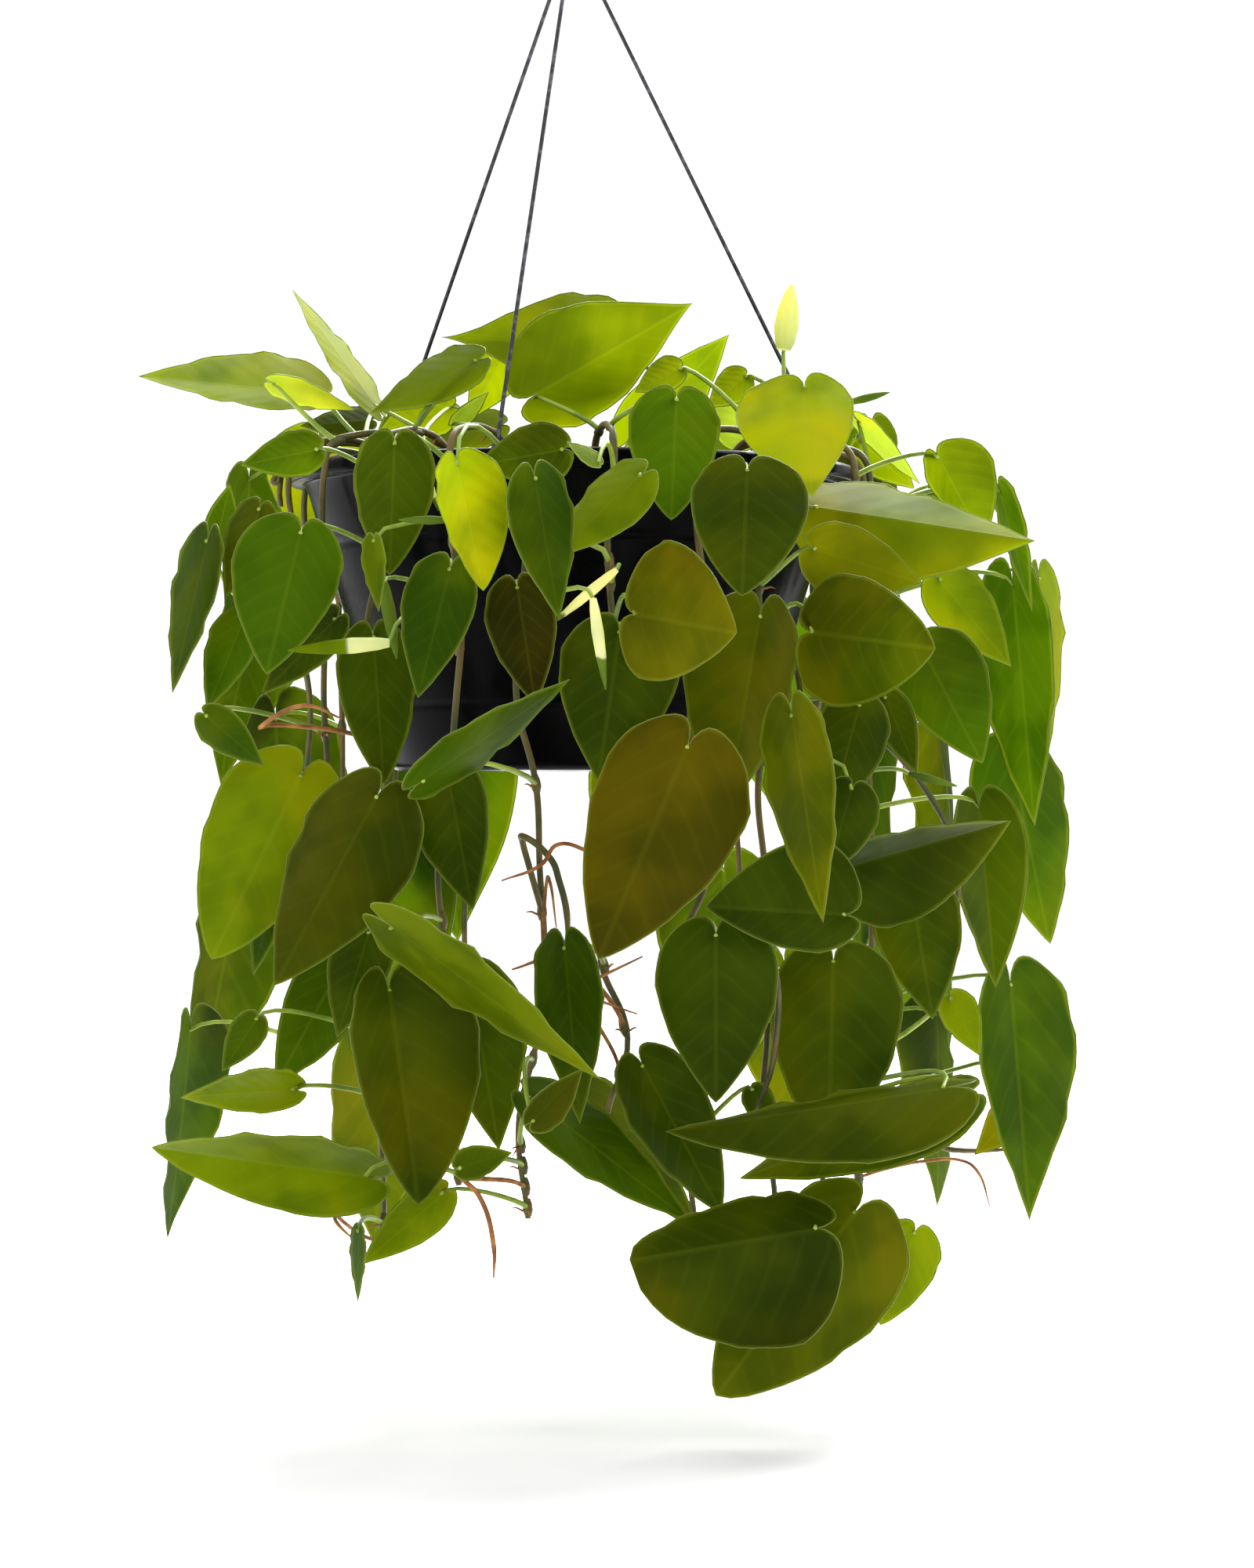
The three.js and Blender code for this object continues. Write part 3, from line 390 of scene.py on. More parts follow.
class Crowd:
    """Sets of points with their boxes, for clear room."""

    def __init__(self):
        self.sets = []
        self.boxes = np.zeros((0, 6))

    def add(self, dots, owner, clear):
        self.sets.append((dots, owner, clear))
        box = np.concatenate((dots.min(0) - BLADE_CLEAR, dots.max(0) + BLADE_CLEAR))
        self.boxes = np.vstack((self.boxes, box))

    def touched(self, dots, clear, counts=lambda owner: True):
        if not len(dots):
            return False
        near = (self.boxes[:, :3] <= dots.max(0)).all(1) & (self.boxes[:, 3:] >= dots.min(0)).all(1)
        for i in np.flatnonzero(near):
            others, owner, least = self.sets[i]
            if not counts(owner):
                continue
            inside = dots[((dots >= self.boxes[i, :3]) & (dots <= self.boxes[i, 3:])).all(1)]
            gaps = ((inside[:, None] - others[None]) ** 2).sum(2)
            if (gaps < min(clear, least) ** 2).any():
                return True
        return False


def reaches_pot(dots, r, above):
    """Whether any point beside the pot is nearer to the axis than r."""
    height = dots[:, 2] - RIM_Z
    beside = (height < above) & (height > -POT_DEEP - 5)
    return bool((beside & (np.hypot(dots[:, 0], dots[:, 1]) < r)).any())


def settle(leaf, start, crowd):
    """A leaf is moved in from the front, or else out, until it has room."""
    tries = [start - 3 * i for i in range(60)] + [start + 3 * i for i in range(1, 22)]
    for clear in (BLADE_CLEAR, 0.75 * BLADE_CLEAR):
        for leaf.out in tries:
            dots = dots_of(leaf)
            if not reaches_pot(dots, LEAF_INSIDE_R, 12) and not crowd.touched(dots, clear):
                crowd.add(dots, id(leaf), BLADE_CLEAR)
                return
    leaf.out = start
    crowd.add(dots_of(leaf), id(leaf), BLADE_CLEAR)


def front_start(u, h, tip_u, layer):
    radius = CROWN_R if h > 10 else BARREL_R
    middle = (u + tip_u) / 2
    return math.sqrt(max(radius ** 2 - middle ** 2, (0.2 * radius) ** 2)) - LAYER * layer


def make_leaves(crowd, draw):
    leaves = []

    def place(leaf, start, tone):
        leaf.tone = tone
        settle(leaf, start, crowd)
        leaves.append(leaf)

    for row, tone in zip(FRONT_LEAVES, FRONT_TONES):
        u, h, tip_u, tip_h, wide_a, wide_b, side, near, layer, *full = row
        leaf = leaf_of((u, h), (tip_u, tip_h), (wide_a, wide_b), side, near, None, draw, *full)
        place(leaf, front_start(u, h, tip_u, layer), tone)
    for (u, h, tip_u, tip_h, thick, layer), tone in zip(ROLLED_LEAVES, ROLLED_TONES):
        leaf = leaf_of((u, h), (tip_u, tip_h), (thick, thick), 0, 1, None, draw)
        leaf.rolled = True
        place(leaf, front_start(u, h, tip_u, layer), tone)
    for thick, layer, *points in SHOOTS:
        shoot = SimpleNamespace(points=points, thick=thick, rolled=True, turn=None, out=0.0, path=None)
        place(shoot, front_start(*points[0], points[-1][0], layer), "k")
    tones = Draws(5)
    for height, first, step, count, length in BACK_ROWS:
        for i in range(count):
            turn = first + step * i + draw(-1, 1) * BACK_SPREAD.turn
            long = length * (1 + draw(-1, 1) * BACK_SPREAD.long)
            h = height + draw(-1, 1) * BACK_SPREAD.height
            tilt = draw(-1, 1) * BACK_SPREAD.tilt * math.pi / 180
            tip = (long * math.sin(tilt), h - long * math.cos(tilt))
            wide = (long * draw(0.3, 0.36), long * draw(0.3, 0.36))
            leaf = leaf_of((0, h), tip, wide, 1 if draw(0, 1) < 0.5 else -1, 1, turn, draw)
            place(leaf, draw(*BACK_ENVELOPE), BACK_SHADE_TONES[int(tones(0, len(BACK_SHADE_TONES)))])
    return leaves


def stalk_handles(leaf, stem, place, lift, spread):
    """The four points of a stalk's curve: it leaves the back of its blade and bends round to a stem."""
    start = shoot_points(leaf) if leaf.points else blade_point(leaf, (0, 0), (0, 0.1))
    notch, following = start[0], start[1]
    back = (notch - following) / np.linalg.norm(notch - following)
    behind = seen(leaf.turn, 0, 0, 0) - seen(leaf.turn, 0, 0, 1)
    behind[2] = 0
    behind = behind / np.linalg.norm(behind)
    end = stem.dots[place]
    reach = np.linalg.norm(notch - end)
    first = notch + back * (0.1 * reach) + behind * (0.24 * reach)
    first[2] += lift * reach
    outwards = np.array((end[0], end[1], 0)) / math.hypot(end[0], end[1])
    last = end + outwards * (spread * reach)
    last[2] += 0.1 * reach
    return notch, first, last, end


def stalk_points(handles, steps):
    t = np.linspace(0, 1, steps + 1)[:, None]
    a, b, c, d = handles
    return a * (1 - t) ** 3 + b * (3 * (1 - t) ** 2 * t) + c * (3 * (1 - t) * t * t) + d * t ** 3


def stalk_clear(path, leaf, stem, clear, crowd):
    dots = dots_along(path, 3)
    away = np.linalg.norm(dots - path[0], axis=1)
    free = dots[away > 3]
    if reaches_pot(free[:-2], POT_RIM_R + 2, -3):
        return False
    if crowd.touched(free, clear, lambda owner: owner not in (id(leaf), id(stem))):
        return False
    return not crowd.touched(dots[away > 6], OWN_CLEAR, lambda owner: owner == id(leaf))


def attach(leaf, stems, crowd):
    """The stalk takes the first clear way to a stem near by."""
    notch = shoot_points(leaf)[0] if leaf.points else blade_point(leaf, 0, 0)
    ways = []
    for stem in stems:
        for place in range(stem.first, len(stem.dots), 2):
            gap = np.linalg.norm(stem.dots[place] - notch)
            if STALK_LONG[0] <= gap <= STALK_LONG[2]:
                cost = abs(gap - STALK_LONG[1]) + (8 if stem.dots[place][2] > notch[2] else 0)
                ways.append((cost, stem, place))
    ways.sort(key=lambda way: way[0])
    for clear in (STALK_CLEAR, 0.8 * STALK_CLEAR):
        for _, stem, place in ways:
            for lift in LIFTS:
                for spread in SPREADS:
                    handles = stalk_handles(leaf, stem, place, lift, spread)
                    path = stalk_points(handles, 3)
                    if stalk_clear(path, leaf, stem, clear, crowd):
                        leaf.path = handles
                        leaf.place = place
                        stem.leaves.append(leaf)
                        stem.end = max(stem.end, place)
                        crowd.add(dots_along(path, 3), id(leaf), STALK_CLEAR)
                        return


def wire_at(turn, share):
    return ring(turn, WIRE_RING_R * share, -APEX_DROP - (RIM_DROP - WIRE_KNEE) * share)


def wire_hook(turn):
    """A wire's lower end: upright from its knee, then hooked under the pot's lip."""
    path = [wire_at(turn, 0.97), ring(turn, WIRE_RING_R, RIM_Z + WIRE_KNEE - 2)]
    path.append(ring(turn, WIRE_RING_R, RIM_Z - 1))
    for degrees in (10, 50, 90, 130, 180):
        a = degrees * math.pi / 180
        path.append(ring(turn, WIRE_RING_R + J_R - J_R * math.cos(a), RIM_Z - J_DROP - J_R * math.sin(a)))
    path.append(ring(turn, WIRE_RING_R + 2 * J_R, RIM_Z + 1))
    return path


def lay_out_plant():
    """The stems, each with its leaves, in the order and with the draws of the solids."""
    draw = Draws(FIRST_DRAW)
    stems = make_stems(draw)
    crowd = Crowd()
    for stem in stems:
        crowd.add(stem.dots, id(stem), BLADE_CLEAR)
    for turn in WIRE_TURNS:
        crowd.add(dots_along([wire_at(turn, 0), *wire_hook(turn)], 4), "wire", STALK_CLEAR)
    lip = []
    for turn in range(0, 360, 3):
        lip += [ring(turn, POT_RIM_R - 1, RIM_Z - 3), ring(turn, POT_RIM_R - 6, RIM_Z - 1)]
    crowd.add(np.array(lip), "lip", STALK_CLEAR - 0.6)
    for leaf in make_leaves(crowd, draw):
        attach(leaf, stems, crowd)
    return stems


def linear(hex_colour):
    """An sRGB hex colour as linear RGBA."""
    parts = [int(hex_colour[i:i + 2], 16) / 255 for i in (0, 2, 4)]
    return (*[c / 12.92 if c <= 0.04045 else ((c + 0.055) / 1.055) ** 2.4 for c in parts], 1)


# The nodes that the materials are made of, with the settings that they share
MATH, RANGE, MIX, NOISE = "ShaderNodeMath", "ShaderNodeMapRange", "ShaderNodeMix", "ShaderNodeTexNoise"
BUMP, SKIN, PLACE = "ShaderNodeBump", "ShaderNodeBsdfPrincipled", "ShaderNodeTexCoord"
ATTRIBUTE, SPLIT, BLEND = "ShaderNodeAttribute", "ShaderNodeSeparateXYZ", "ShaderNodeMixShader"
THROUGH, OUTPUT = "ShaderNodeBsdfTranslucent", "ShaderNodeOutputMaterial"
SMOOTH = {"interpolation_type": "SMOOTHSTEP"}
COLOURS = {"data_type": "RGBA", "out": 2}
TINT = COLOURS | {"blend_type": "MULTIPLY"}


def add_node(tree, kind, inputs=(), out=0, **settings):
    """Adds a shader node, sets it, fills or links its inputs by place or name, and returns an output."""
    made = tree.nodes.new(kind)
    for name, value in settings.items():
        setattr(made, name, value)
    for key, value in inputs.items() if isinstance(inputs, dict) else enumerate(inputs):
        if isinstance(value, bpy.types.NodeSocket):
            tree.links.new(value, made.inputs[key])
        else:
            made.inputs[key].default_value = value
    return made.outputs[out] if len(made.outputs) else None


def new_material(name):
    """A material without nodes, and what adds a node to it."""
    material = bpy.data.materials.new(name)
    material.use_nodes = True
    material.node_tree.nodes.clear()
    return material, partial(add_node, material.node_tree)


def grain(place, size_mm, detail=3.0, roughness=0.55):
    """The inputs of a noise whose lumps are so many millimetres across."""
    return {"Vector": place, "Scale": 1 / (size_mm * MM), "Detail": detail, "Roughness": roughness}


def leaf_material():
    # Living leaf: a satin skin over a layer that glows when it is lit from behind. It has darker patches of
    # painted shade and warmer patches of painted glow, six or seven arching side veins a side and a pale rim
    # 1.5 mm wide of painted rim light
    material, add = new_material("Philodendron_leaf_satin_painted_shade_glow")
    heart = add(ATTRIBUTE, attribute_name="heart", out="Vector")
    sideways, ahead, edge = add(SPLIT, (heart,)).node.outputs
    tone = add(ATTRIBUTE, attribute_name="tone", out="Color")
    place = add(PLACE, out="Object")
    reach = add(MATH, (sideways,), operation="ABSOLUTE")
    midrib = add(RANGE, (reach, 0.06, 0.008), **SMOOTH)
    arched = add(MATH, (add(MATH, (reach, 1.25), operation="POWER"), 0.36), operation="MULTIPLY")
    wobble = add(MATH, (add(NOISE, grain(place, 11.1)), 0.05), operation="MULTIPLY")
    along = add(MATH, (add(MATH, (ahead, arched), operation="SUBTRACT"), wobble), operation="ADD")
    cell = add(MATH, (add(MATH, (along, 6.5), operation="MULTIPLY"),), operation="FRACT")
    off_vein = add(MATH, (add(MATH, (cell, 0.5), operation="SUBTRACT"),), operation="ABSOLUTE")
    fading = add(RANGE, (reach, 1.0, 0.55), **SMOOTH)
    side_vein = add(MATH, (add(RANGE, (off_vein, 0.16, 0.01), **SMOOTH), fading), operation="MULTIPLY")
    vein = add(MATH, (midrib, add(MATH, (side_vein, 0.4), operation="MULTIPLY")), operation="MAXIMUM")
    # Painted shade: soft patches where the tone is darkened, as if under overlapping leaves
    painted_shade_patch = add(RANGE, (add(NOISE, grain(place, 35.7, 2.5)), 0.36, 0.6), **SMOOTH)
    painted_shade_tone = add(MIX, {0: 1.0, 6: tone, 7: (0.58, 0.66, 0.6, 1)}, **TINT)
    body = add(MIX, {0: painted_shade_patch, 6: painted_shade_tone, 7: tone}, **COLOURS)
    # Painted glow: soft patches where the tone turns warmer and brighter, as if lit through from behind
    painted_glow_tone = add(MIX, {0: 1.0, 6: body, 7: (1.45, 1.12, 0.5, 1)}, **TINT)
    painted_glow_patch = add(RANGE, (add(NOISE, grain(place, 58.8, 1.5)), 0.48, 0.68), **SMOOTH)
    body = add(MIX, {0: painted_glow_patch, 6: body, 7: painted_glow_tone}, **COLOURS)
    pale = add(MIX, {0: 0.35, 6: tone, 7: linear("b4c84a")}, **COLOURS)
    body = add(MIX, {0: add(MATH, (vein, 0.09), operation="MULTIPLY"), 6: body, 7: pale}, **COLOURS)
    # Painted rim light: the blade turns paler within 1.5 mm of its edge
    rim = add(RANGE, (edge, 1.5, 0.2), **SMOOTH)
    body = add(MIX, {0: add(MATH, (rim, 0.35), operation="MULTIPLY"), 6: body, 7: pale}, **COLOURS)
    glow = add(MIX, {0: 1.0, 6: body, 7: (1.4, 1.3, 0.4, 1)}, **TINT)
    bulge = add(MATH, (off_vein, 1.1), operation="MULTIPLY")
    sunk = add(MATH, (midrib, 0.7), operation="MULTIPLY")
    fine = add(MATH, (add(NOISE, grain(place, 1.43)), 0.12), operation="MULTIPLY")
    height = add(MATH, (add(MATH, (bulge, sunk), operation="SUBTRACT"), fine), operation="ADD")
    bump = add(BUMP, {"Strength": 0.2, "Distance": 0.0008, "Height": height})
    skin = {"Base Color": body, "Roughness": 0.5, "IOR": 1.15, "Specular IOR Level": 0.5, "Normal": bump}
    through = add(THROUGH, {"Color": glow, "Normal": bump})
    add(OUTPUT, (add(BLEND, (0.6, add(SKIN, skin), through)),))
    return material


def margin_material():
    # Leaf margin: the slightly thickened edge, its pale colour a painted rim light
    material, add = new_material("Leaf_margin_painted_rim_light")
    tone = add(ATTRIBUTE, attribute_name="tone", out="Color")
    # The pale colour is a painted rim light along the edge
    colour = add(MIX, {0: 0.28, 6: tone, 7: linear("c8dc50")}, **COLOURS)
    skin = add(SKIN, {"Base Color": colour, "Roughness": 0.3, "Specular IOR Level": 0.5})
    through = add(THROUGH, {"Color": colour})
    add(OUTPUT, (add(BLEND, (0.4, skin, through)),))
    return material


def stalk_material(name, low, high, patch_mm, roughness):
    material, add = new_material(name)
    place = add(PLACE, out="Object")
    share = add(RANGE, (add(NOISE, grain(place, patch_mm, 4.0)), 0.35, 0.65), **SMOOTH)
    colour = add(MIX, {0: share, 6: linear(low), 7: linear(high)}, **COLOURS)
    fine = add(NOISE, grain(place, patch_mm / 9))
    bump = add(BUMP, {"Strength": 0.4, "Distance": 0.0003, "Height": fine})
    add(OUTPUT, (add(SKIN, {"Base Color": colour, "Roughness": roughness, "Normal": bump}),))
    return material


def vine_materials():
    # Petioles are smooth and juicy, stems and knots have a thin brown skin, roots a dry corky one
    return [
        leaf_material(),
        margin_material(),
        stalk_material("Petiole_grown_smooth", "6f8a1a", "9db33c", 16.7, 0.42),
        stalk_material("Stem_skin_grown_satin", "3c4414", "6b5a26", 14.3, 0.5),
        stalk_material("Aerial_root_grown_corky", "7a4a1c", "b0773a", 6.25, 0.75),
    ]


def plastic_material():
    # Injection-moulded polypropylene, glossy, with dust in the flow marks and fine handling scratches
    material, add = new_material("Pot_plastic_moulded_gloss")
    place = add(PLACE, out="Object")
    smear = add(NOISE, grain(place, 26.3, 5.0))
    share = add(RANGE, (smear, 0.5, 0.8, 0.0, 0.5), **SMOOTH)
    colour = add(MIX, {0: share, 6: linear("060707"), 7: linear("121313")}, **COLOURS)
    rough = add(RANGE, (smear, 0.3, 0.75, 0.16, 0.38), **SMOOTH)
    bump = add(BUMP, {"Strength": 0.15, "Distance": 0.0004, "Height": add(NOISE, grain(place, 3.85))})
    skin = {"Base Color": colour, "Roughness": rough, "IOR": 1.2, "Specular IOR Level": 0.15, "Normal": bump}
    add(OUTPUT, (add(SKIN, skin),))
    return material


def wire_material():
    # Drawn steel wire with a dark oxide skin, worn in small patches
    material, add = new_material("Hanger_wire_drawn_oxidised")
    worn = add(NOISE, grain(add(PLACE, out="Object"), 3.33, 4.0))
    share = add(RANGE, (worn, 0.45, 0.7), **SMOOTH)
    colour = add(MIX, {0: share, 6: linear("3a3b3d"), 7: linear("63646a")}, **COLOURS)
    rough = add(RANGE, (worn, 0.3, 0.7, 0.3, 0.5), **SMOOTH)
    add(OUTPUT, (add(SKIN, {"Base Color": colour, "Metallic": 0.85, "Roughness": rough}),))
    return material


def soil_materials():
    # Moist potting compost, rough and dark, with crumbs of bark in it
    made = []
    kinds = [("Potting_soil_moist_rough", "1d130c", "3f2c1d"), ("Bark_crumb_broken_dry", "3a2616", "6e4c2c")]
    for name, low, high in kinds:
        material, add = new_material(name)
        place = add(PLACE, out="Object")
        share = add(RANGE, (add(NOISE, grain(place, 3.03, 6.0, 0.7)), 0.35, 0.65), **SMOOTH)
        colour = add(MIX, {0: share, 6: linear(low), 7: linear(high)}, **COLOURS)
        height = add(NOISE, grain(place, 1.92, 6.0, 0.7))
        bump = add(BUMP, {"Strength": 0.9, "Distance": 0.0018, "Height": height})
        add(OUTPUT, (add(SKIN, {"Base Color": colour, "Roughness": 0.92, "Normal": bump}),))
        made.append(material)
    return made


LEAF_SLOT, MARGIN_SLOT, PETIOLE_SLOT, STEM_SLOT, ROOT_SLOT = range(5)


def new_piece(name, bm, materials, nodes, smooth=True):
    """Makes the object that stands for these CAD nodes."""
    for face in bm.faces:
        face.smooth = smooth
    mesh = bpy.data.meshes.new(name)
    bm.to_mesh(mesh)
    bm.free()
    for material in materials:
        mesh.materials.append(material)
    piece = bpy.data.objects.new(name, mesh)
    bpy.context.scene.collection.objects.link(piece)
    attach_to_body(piece, "root")
    if nodes:
        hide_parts(*nodes)
    return piece


def tube_mesh(splines, sides=2, steps=6):
    """Round tubes as a mesh. Each spline is (kind, points, radii, cyclic) in millimetres."""
    curve = bpy.data.curves.new("tubes", "CURVE")
    curve.dimensions = "3D"
    curve.bevel_depth = MM
    curve.bevel_resolution = sides
    curve.resolution_u = steps
    curve.use_fill_caps = True
    for kind, points, radii, cyclic in splines:
        spline = curve.splines.new("POLY" if kind == "POLY" else "BEZIER")
        spline.use_cyclic_u = cyclic
        if kind == "POLY":
            spline.points.add(len(points) - 1)
            for point, place, radius in zip(spline.points, points, radii):
                point.co = (*(Vector(place) * MM), 1)
                point.radius = radius
        elif kind == "STALK":
            spline.bezier_points.add(1)
            first, last = spline.bezier_points
            first.co, first.handle_right = Vector(points[0]) * MM, Vector(points[1]) * MM
            first.handle_left = 2 * first.co - first.handle_right
            last.co, last.handle_left = Vector(points[3]) * MM, Vector(points[2]) * MM
            last.handle_right = 2 * last.co - last.handle_left
            first.radius, last.radius = radii
        else:
            spline.bezier_points.add(len(points) - 1)
            for point, place, radius in zip(spline.bezier_points, points, radii):
                point.co = Vector(place) * MM
                point.radius = radius
                point.handle_left_type = point.handle_right_type = "AUTO"
    holder = bpy.data.objects.new("tubes", curve)
    mesh = bpy.data.meshes.new_from_object(holder)
    bpy.data.objects.remove(holder)
    bpy.data.curves.remove(curve)
    return mesh


def add_tubes(bm, splines, slot, tone="k", sides=2, steps=6):
    """Adds tubes to a piece, with one material and one tone."""
    if not splines:
        return
    mesh = tube_mesh(splines, sides, steps)
    verts, faces = len(bm.verts), len(bm.faces)
    bm.from_mesh(mesh)
    bpy.data.meshes.remove(mesh)
    bm.verts.ensure_lookup_table()
    bm.faces.ensure_lookup_table()
    bmesh.ops.remove_doubles(bm, verts=bm.verts[verts:], dist=1e-7)
    bm.verts.ensure_lookup_table()
    bm.faces.ensure_lookup_table()
    colour = linear(TONES[tone])
    tones, hearts = bm.verts.layers.float_color["tone"], bm.verts.layers.float_vector["heart"]
    for vert in bm.verts[verts:]:
        vert[tones] = colour
        vert[hearts] = (0.5, 0.06, 9)
    for face in bm.faces[faces:]:
        face.material_index = slot


def blade_grid(leaf, ruffle):
    """The points of a blade by row and column, waved along the edge and sunk at the midrib."""
    across, along = np.meshgrid(ACROSS, ROWS)
    points = blade_point(leaf, across.ravel(), along.ravel()).reshape(*across.shape, 3)
    s, reach = heart_places(leaf, across, along)
    normal = np.cross(np.gradient(points, axis=1), np.gradient(points, axis=0))
    normal[-1] = normal[-2]
    length = np.linalg.norm(normal, axis=2, keepdims=True)
    normal = normal / np.maximum(length, 1e-9)
    if normal.mean((0, 1))[:2] @ points.mean((0, 1))[:2] < 0:
        normal = -normal
    wide = np.where(across > 0, *leaf.wide)
    size = leaf.real / 70
    wave = np.sin(21 * s + 3 * leaf.wave + 2 * np.sign(across)) + 0.6 * np.sin(34 * s - leaf.wave)
    lift = ruffle * size * wave * reach * np.abs(across) ** 3
    lift -= 0.35 * np.exp(-(reach * wide / 1.1) ** 2) * (1 - s)
    lift += 0.5 * size * np.sin(17 * s - 3 * reach + leaf.wave) * reach * (1 - np.abs(across))
    edge = np.minimum((1 - np.abs(across)) * profile(np.minimum(s, 1), leaf.full) * wide, along * leaf.long)
    hearts = np.stack((np.sign(across) * reach, s, edge), -1)
    return points + normal * lift[..., None], hearts


def add_blade(bm, leaf, ruffle):
    """Adds a blade to a piece and returns its outline."""
    points, hearts = blade_grid(leaf, ruffle)
    rows = len(ROWS) - 1
    made = bmesh.ops.create_grid(bm, x_segments=2 * COLUMNS, y_segments=rows, size=1)["verts"]
    tones, layer = bm.verts.layers.float_color["tone"], bm.verts.layers.float_vector["heart"]
    colour = linear(TONES[leaf.tone])
    for vert in made:
        column = round((vert.co.x + 1) * COLUMNS)
        row = round((vert.co.y + 1) * rows / 2)
        vert.co = Vector(points[row, column]) * MM
        vert[tones] = colour
        vert[layer] = hearts[row, column]
    bmesh.ops.remove_doubles(bm, verts=made, dist=1e-6)
    return np.concatenate((points[0], points[1:-1, -1], points[-1:, 0], points[-2:0:-1, 0]))


def margin_radii(leaf, outline, thick):
    """The margin is thinner towards the drip tip."""
    tip = blade_point(leaf, 0, 1)
    away = np.linalg.norm(outline - tip, axis=1)
    return thick * np.clip(0.55 + away / leaf.real, 0.55, 1)


def add_rolled(leaf, tubes):
    shares = ((0, 0.55), (0.12, 0.8), (0.35, 1), (0.6, 0.85), (0.82, 0.5), (0.97, 0.12))
    points = [blade_point(leaf, 0, along) for along, _ in shares]
    radii = [leaf.wide[0] * r for _, r in shares]
    tubes.setdefault((LEAF_SLOT, leaf.tone), []).append(("AUTO", points, radii, False))


def add_roots(stem, leaf, draw, tubes):
    """A knot where a stalk leaves its stem and, at some, one or two short roots."""
    dots = stem.dots
    at = dots[leaf.place]
    before, after = dots[max(leaf.place - 1, 0)], dots[min(leaf.place + 1, len(dots) - 1)]
    along = (after - before) / np.linalg.norm(after - before)
    knot = [at - along * 3.2, at - along, at + along, at + along * 3.2]
    tubes.setdefault((STEM_SLOT, "k"), []).append(("AUTO", knot, [1.2, 1.75, 1.85, 1.2], False))
    for _ in range(int(draw(0, 2.4))):
        a = math.atan2(at[1], at[0]) + draw(-1.2, 1.2)
        out = np.array((math.cos(a), math.sin(a), 0))
        long = draw(3.5, 8)
        bend = long * (out * 0.6 + np.array((0, 0, draw(-0.9, 0.1))))
        points = [at + along, at + out * 1.9 + along, at + out * 2.4 + bend * 0.5, at + out * 2.2 + bend]
        tubes.setdefault((ROOT_SLOT, "k"), []).append(("AUTO", points, [0.5, 0.42, 0.32, 0.12], False))


def vine_tubes(stem, draw):
    """A vine's stem, knots, roots, stalks, rolled leaves and shoots, by material and tone."""
    last = stem.dots[min(stem.end + 1, len(stem.dots) - 1)]
    path = [p for i, p in enumerate(stem.path) if i < 7 or p[2] > last[2] + 4] + [last]
    radii = [STEM_R * 1.08 * (1 - 0.25 * i / len(path)) for i in range(len(path))]
    tubes = {(STEM_SLOT, "k"): [("AUTO", path, radii, False)]}
    for leaf in stem.leaves:
        add_roots(stem, leaf, draw, tubes)
        if leaf.points:
            slot = STEM_SLOT if leaf.thick > 1.2 else ROOT_SLOT
            points = [*shoot_points(leaf)[::-1], *stalk_points(leaf.path, 4)[1:]]
            radii = [leaf.thick * (0.3 if i == 0 else 0.9) for i in range(len(points))]
            tubes.setdefault((slot, "k"), []).append(("AUTO", points, radii, False))
            continue
        tubes.setdefault((PETIOLE_SLOT, "k"), []).append(("STALK", leaf.path, PETIOLE_R, False))
        if leaf.rolled:
            add_rolled(leaf, tubes)
    return tubes


def build_vine(k, stem, materials, settings):
    bm = bmesh.new()
    bm.verts.layers.float_color.new("tone")
    bm.verts.layers.float_vector.new("heart")
    margins = {}
    for leaf in stem.leaves:
        if leaf.rolled:
            continue
        leaf.full *= settings.fuller
        outline = add_blade(bm, leaf, settings.ruffle / MM)
        radii = margin_radii(leaf, outline, settings.margin / MM / 2)
        margins.setdefault((MARGIN_SLOT, leaf.tone), []).append(("POLY", outline, radii, True))
    for (slot, tone), splines in margins.items():
        add_tubes(bm, splines, slot, tone, sides=1)
    for (slot, tone), splines in vine_tubes(stem, Draws(40 + k)).items():
        add_tubes(bm, splines, slot, tone, steps=8)
    new_piece(f"vine_{k + 1:02d}_foliage", bm, materials, [f"vine_{k + 1:02d}"])


def spin_profile(bm, profile_mm, z, steps):
    """Turns a profile of radii and heights round the axis into a closed skin."""
    verts = [bm.verts.new((r * MM, 0, (z + h) * MM)) for r, h in profile_mm]
    edges = [bm.edges.new(pair) for pair in zip(verts, verts[1:])]
    bmesh.ops.spin(bm, geom=verts + edges, cent=(0, 0, 0), axis=(0, 0, 1), angle=2 * math.pi, steps=steps,
                   use_merge=True)
    bmesh.ops.remove_doubles(bm, verts=bm.verts[:], dist=1e-6)
    bmesh.ops.recalc_face_normals(bm, faces=bm.faces[:])


def rounded(points, radius, steps=3):
    """The profile with its inner corners rounded."""
    out = [points[0]]
    for before, at, after in zip(points, points[1:], points[2:]):
        a, b, c = (np.array(p, float) for p in (before, at, after))
        cut = min(radius, 0.4 * np.linalg.norm(b - a), 0.4 * np.linalg.norm(c - b))
        start = b + (a - b) / np.linalg.norm(a - b) * cut
        end = b + (c - b) / np.linalg.norm(c - b) * cut
        for t in np.linspace(0, 1, steps + 1):
            out.append(tuple(start * (1 - t) ** 2 + b * 2 * t * (1 - t) + end * t * t))
    return out + [points[-1]]


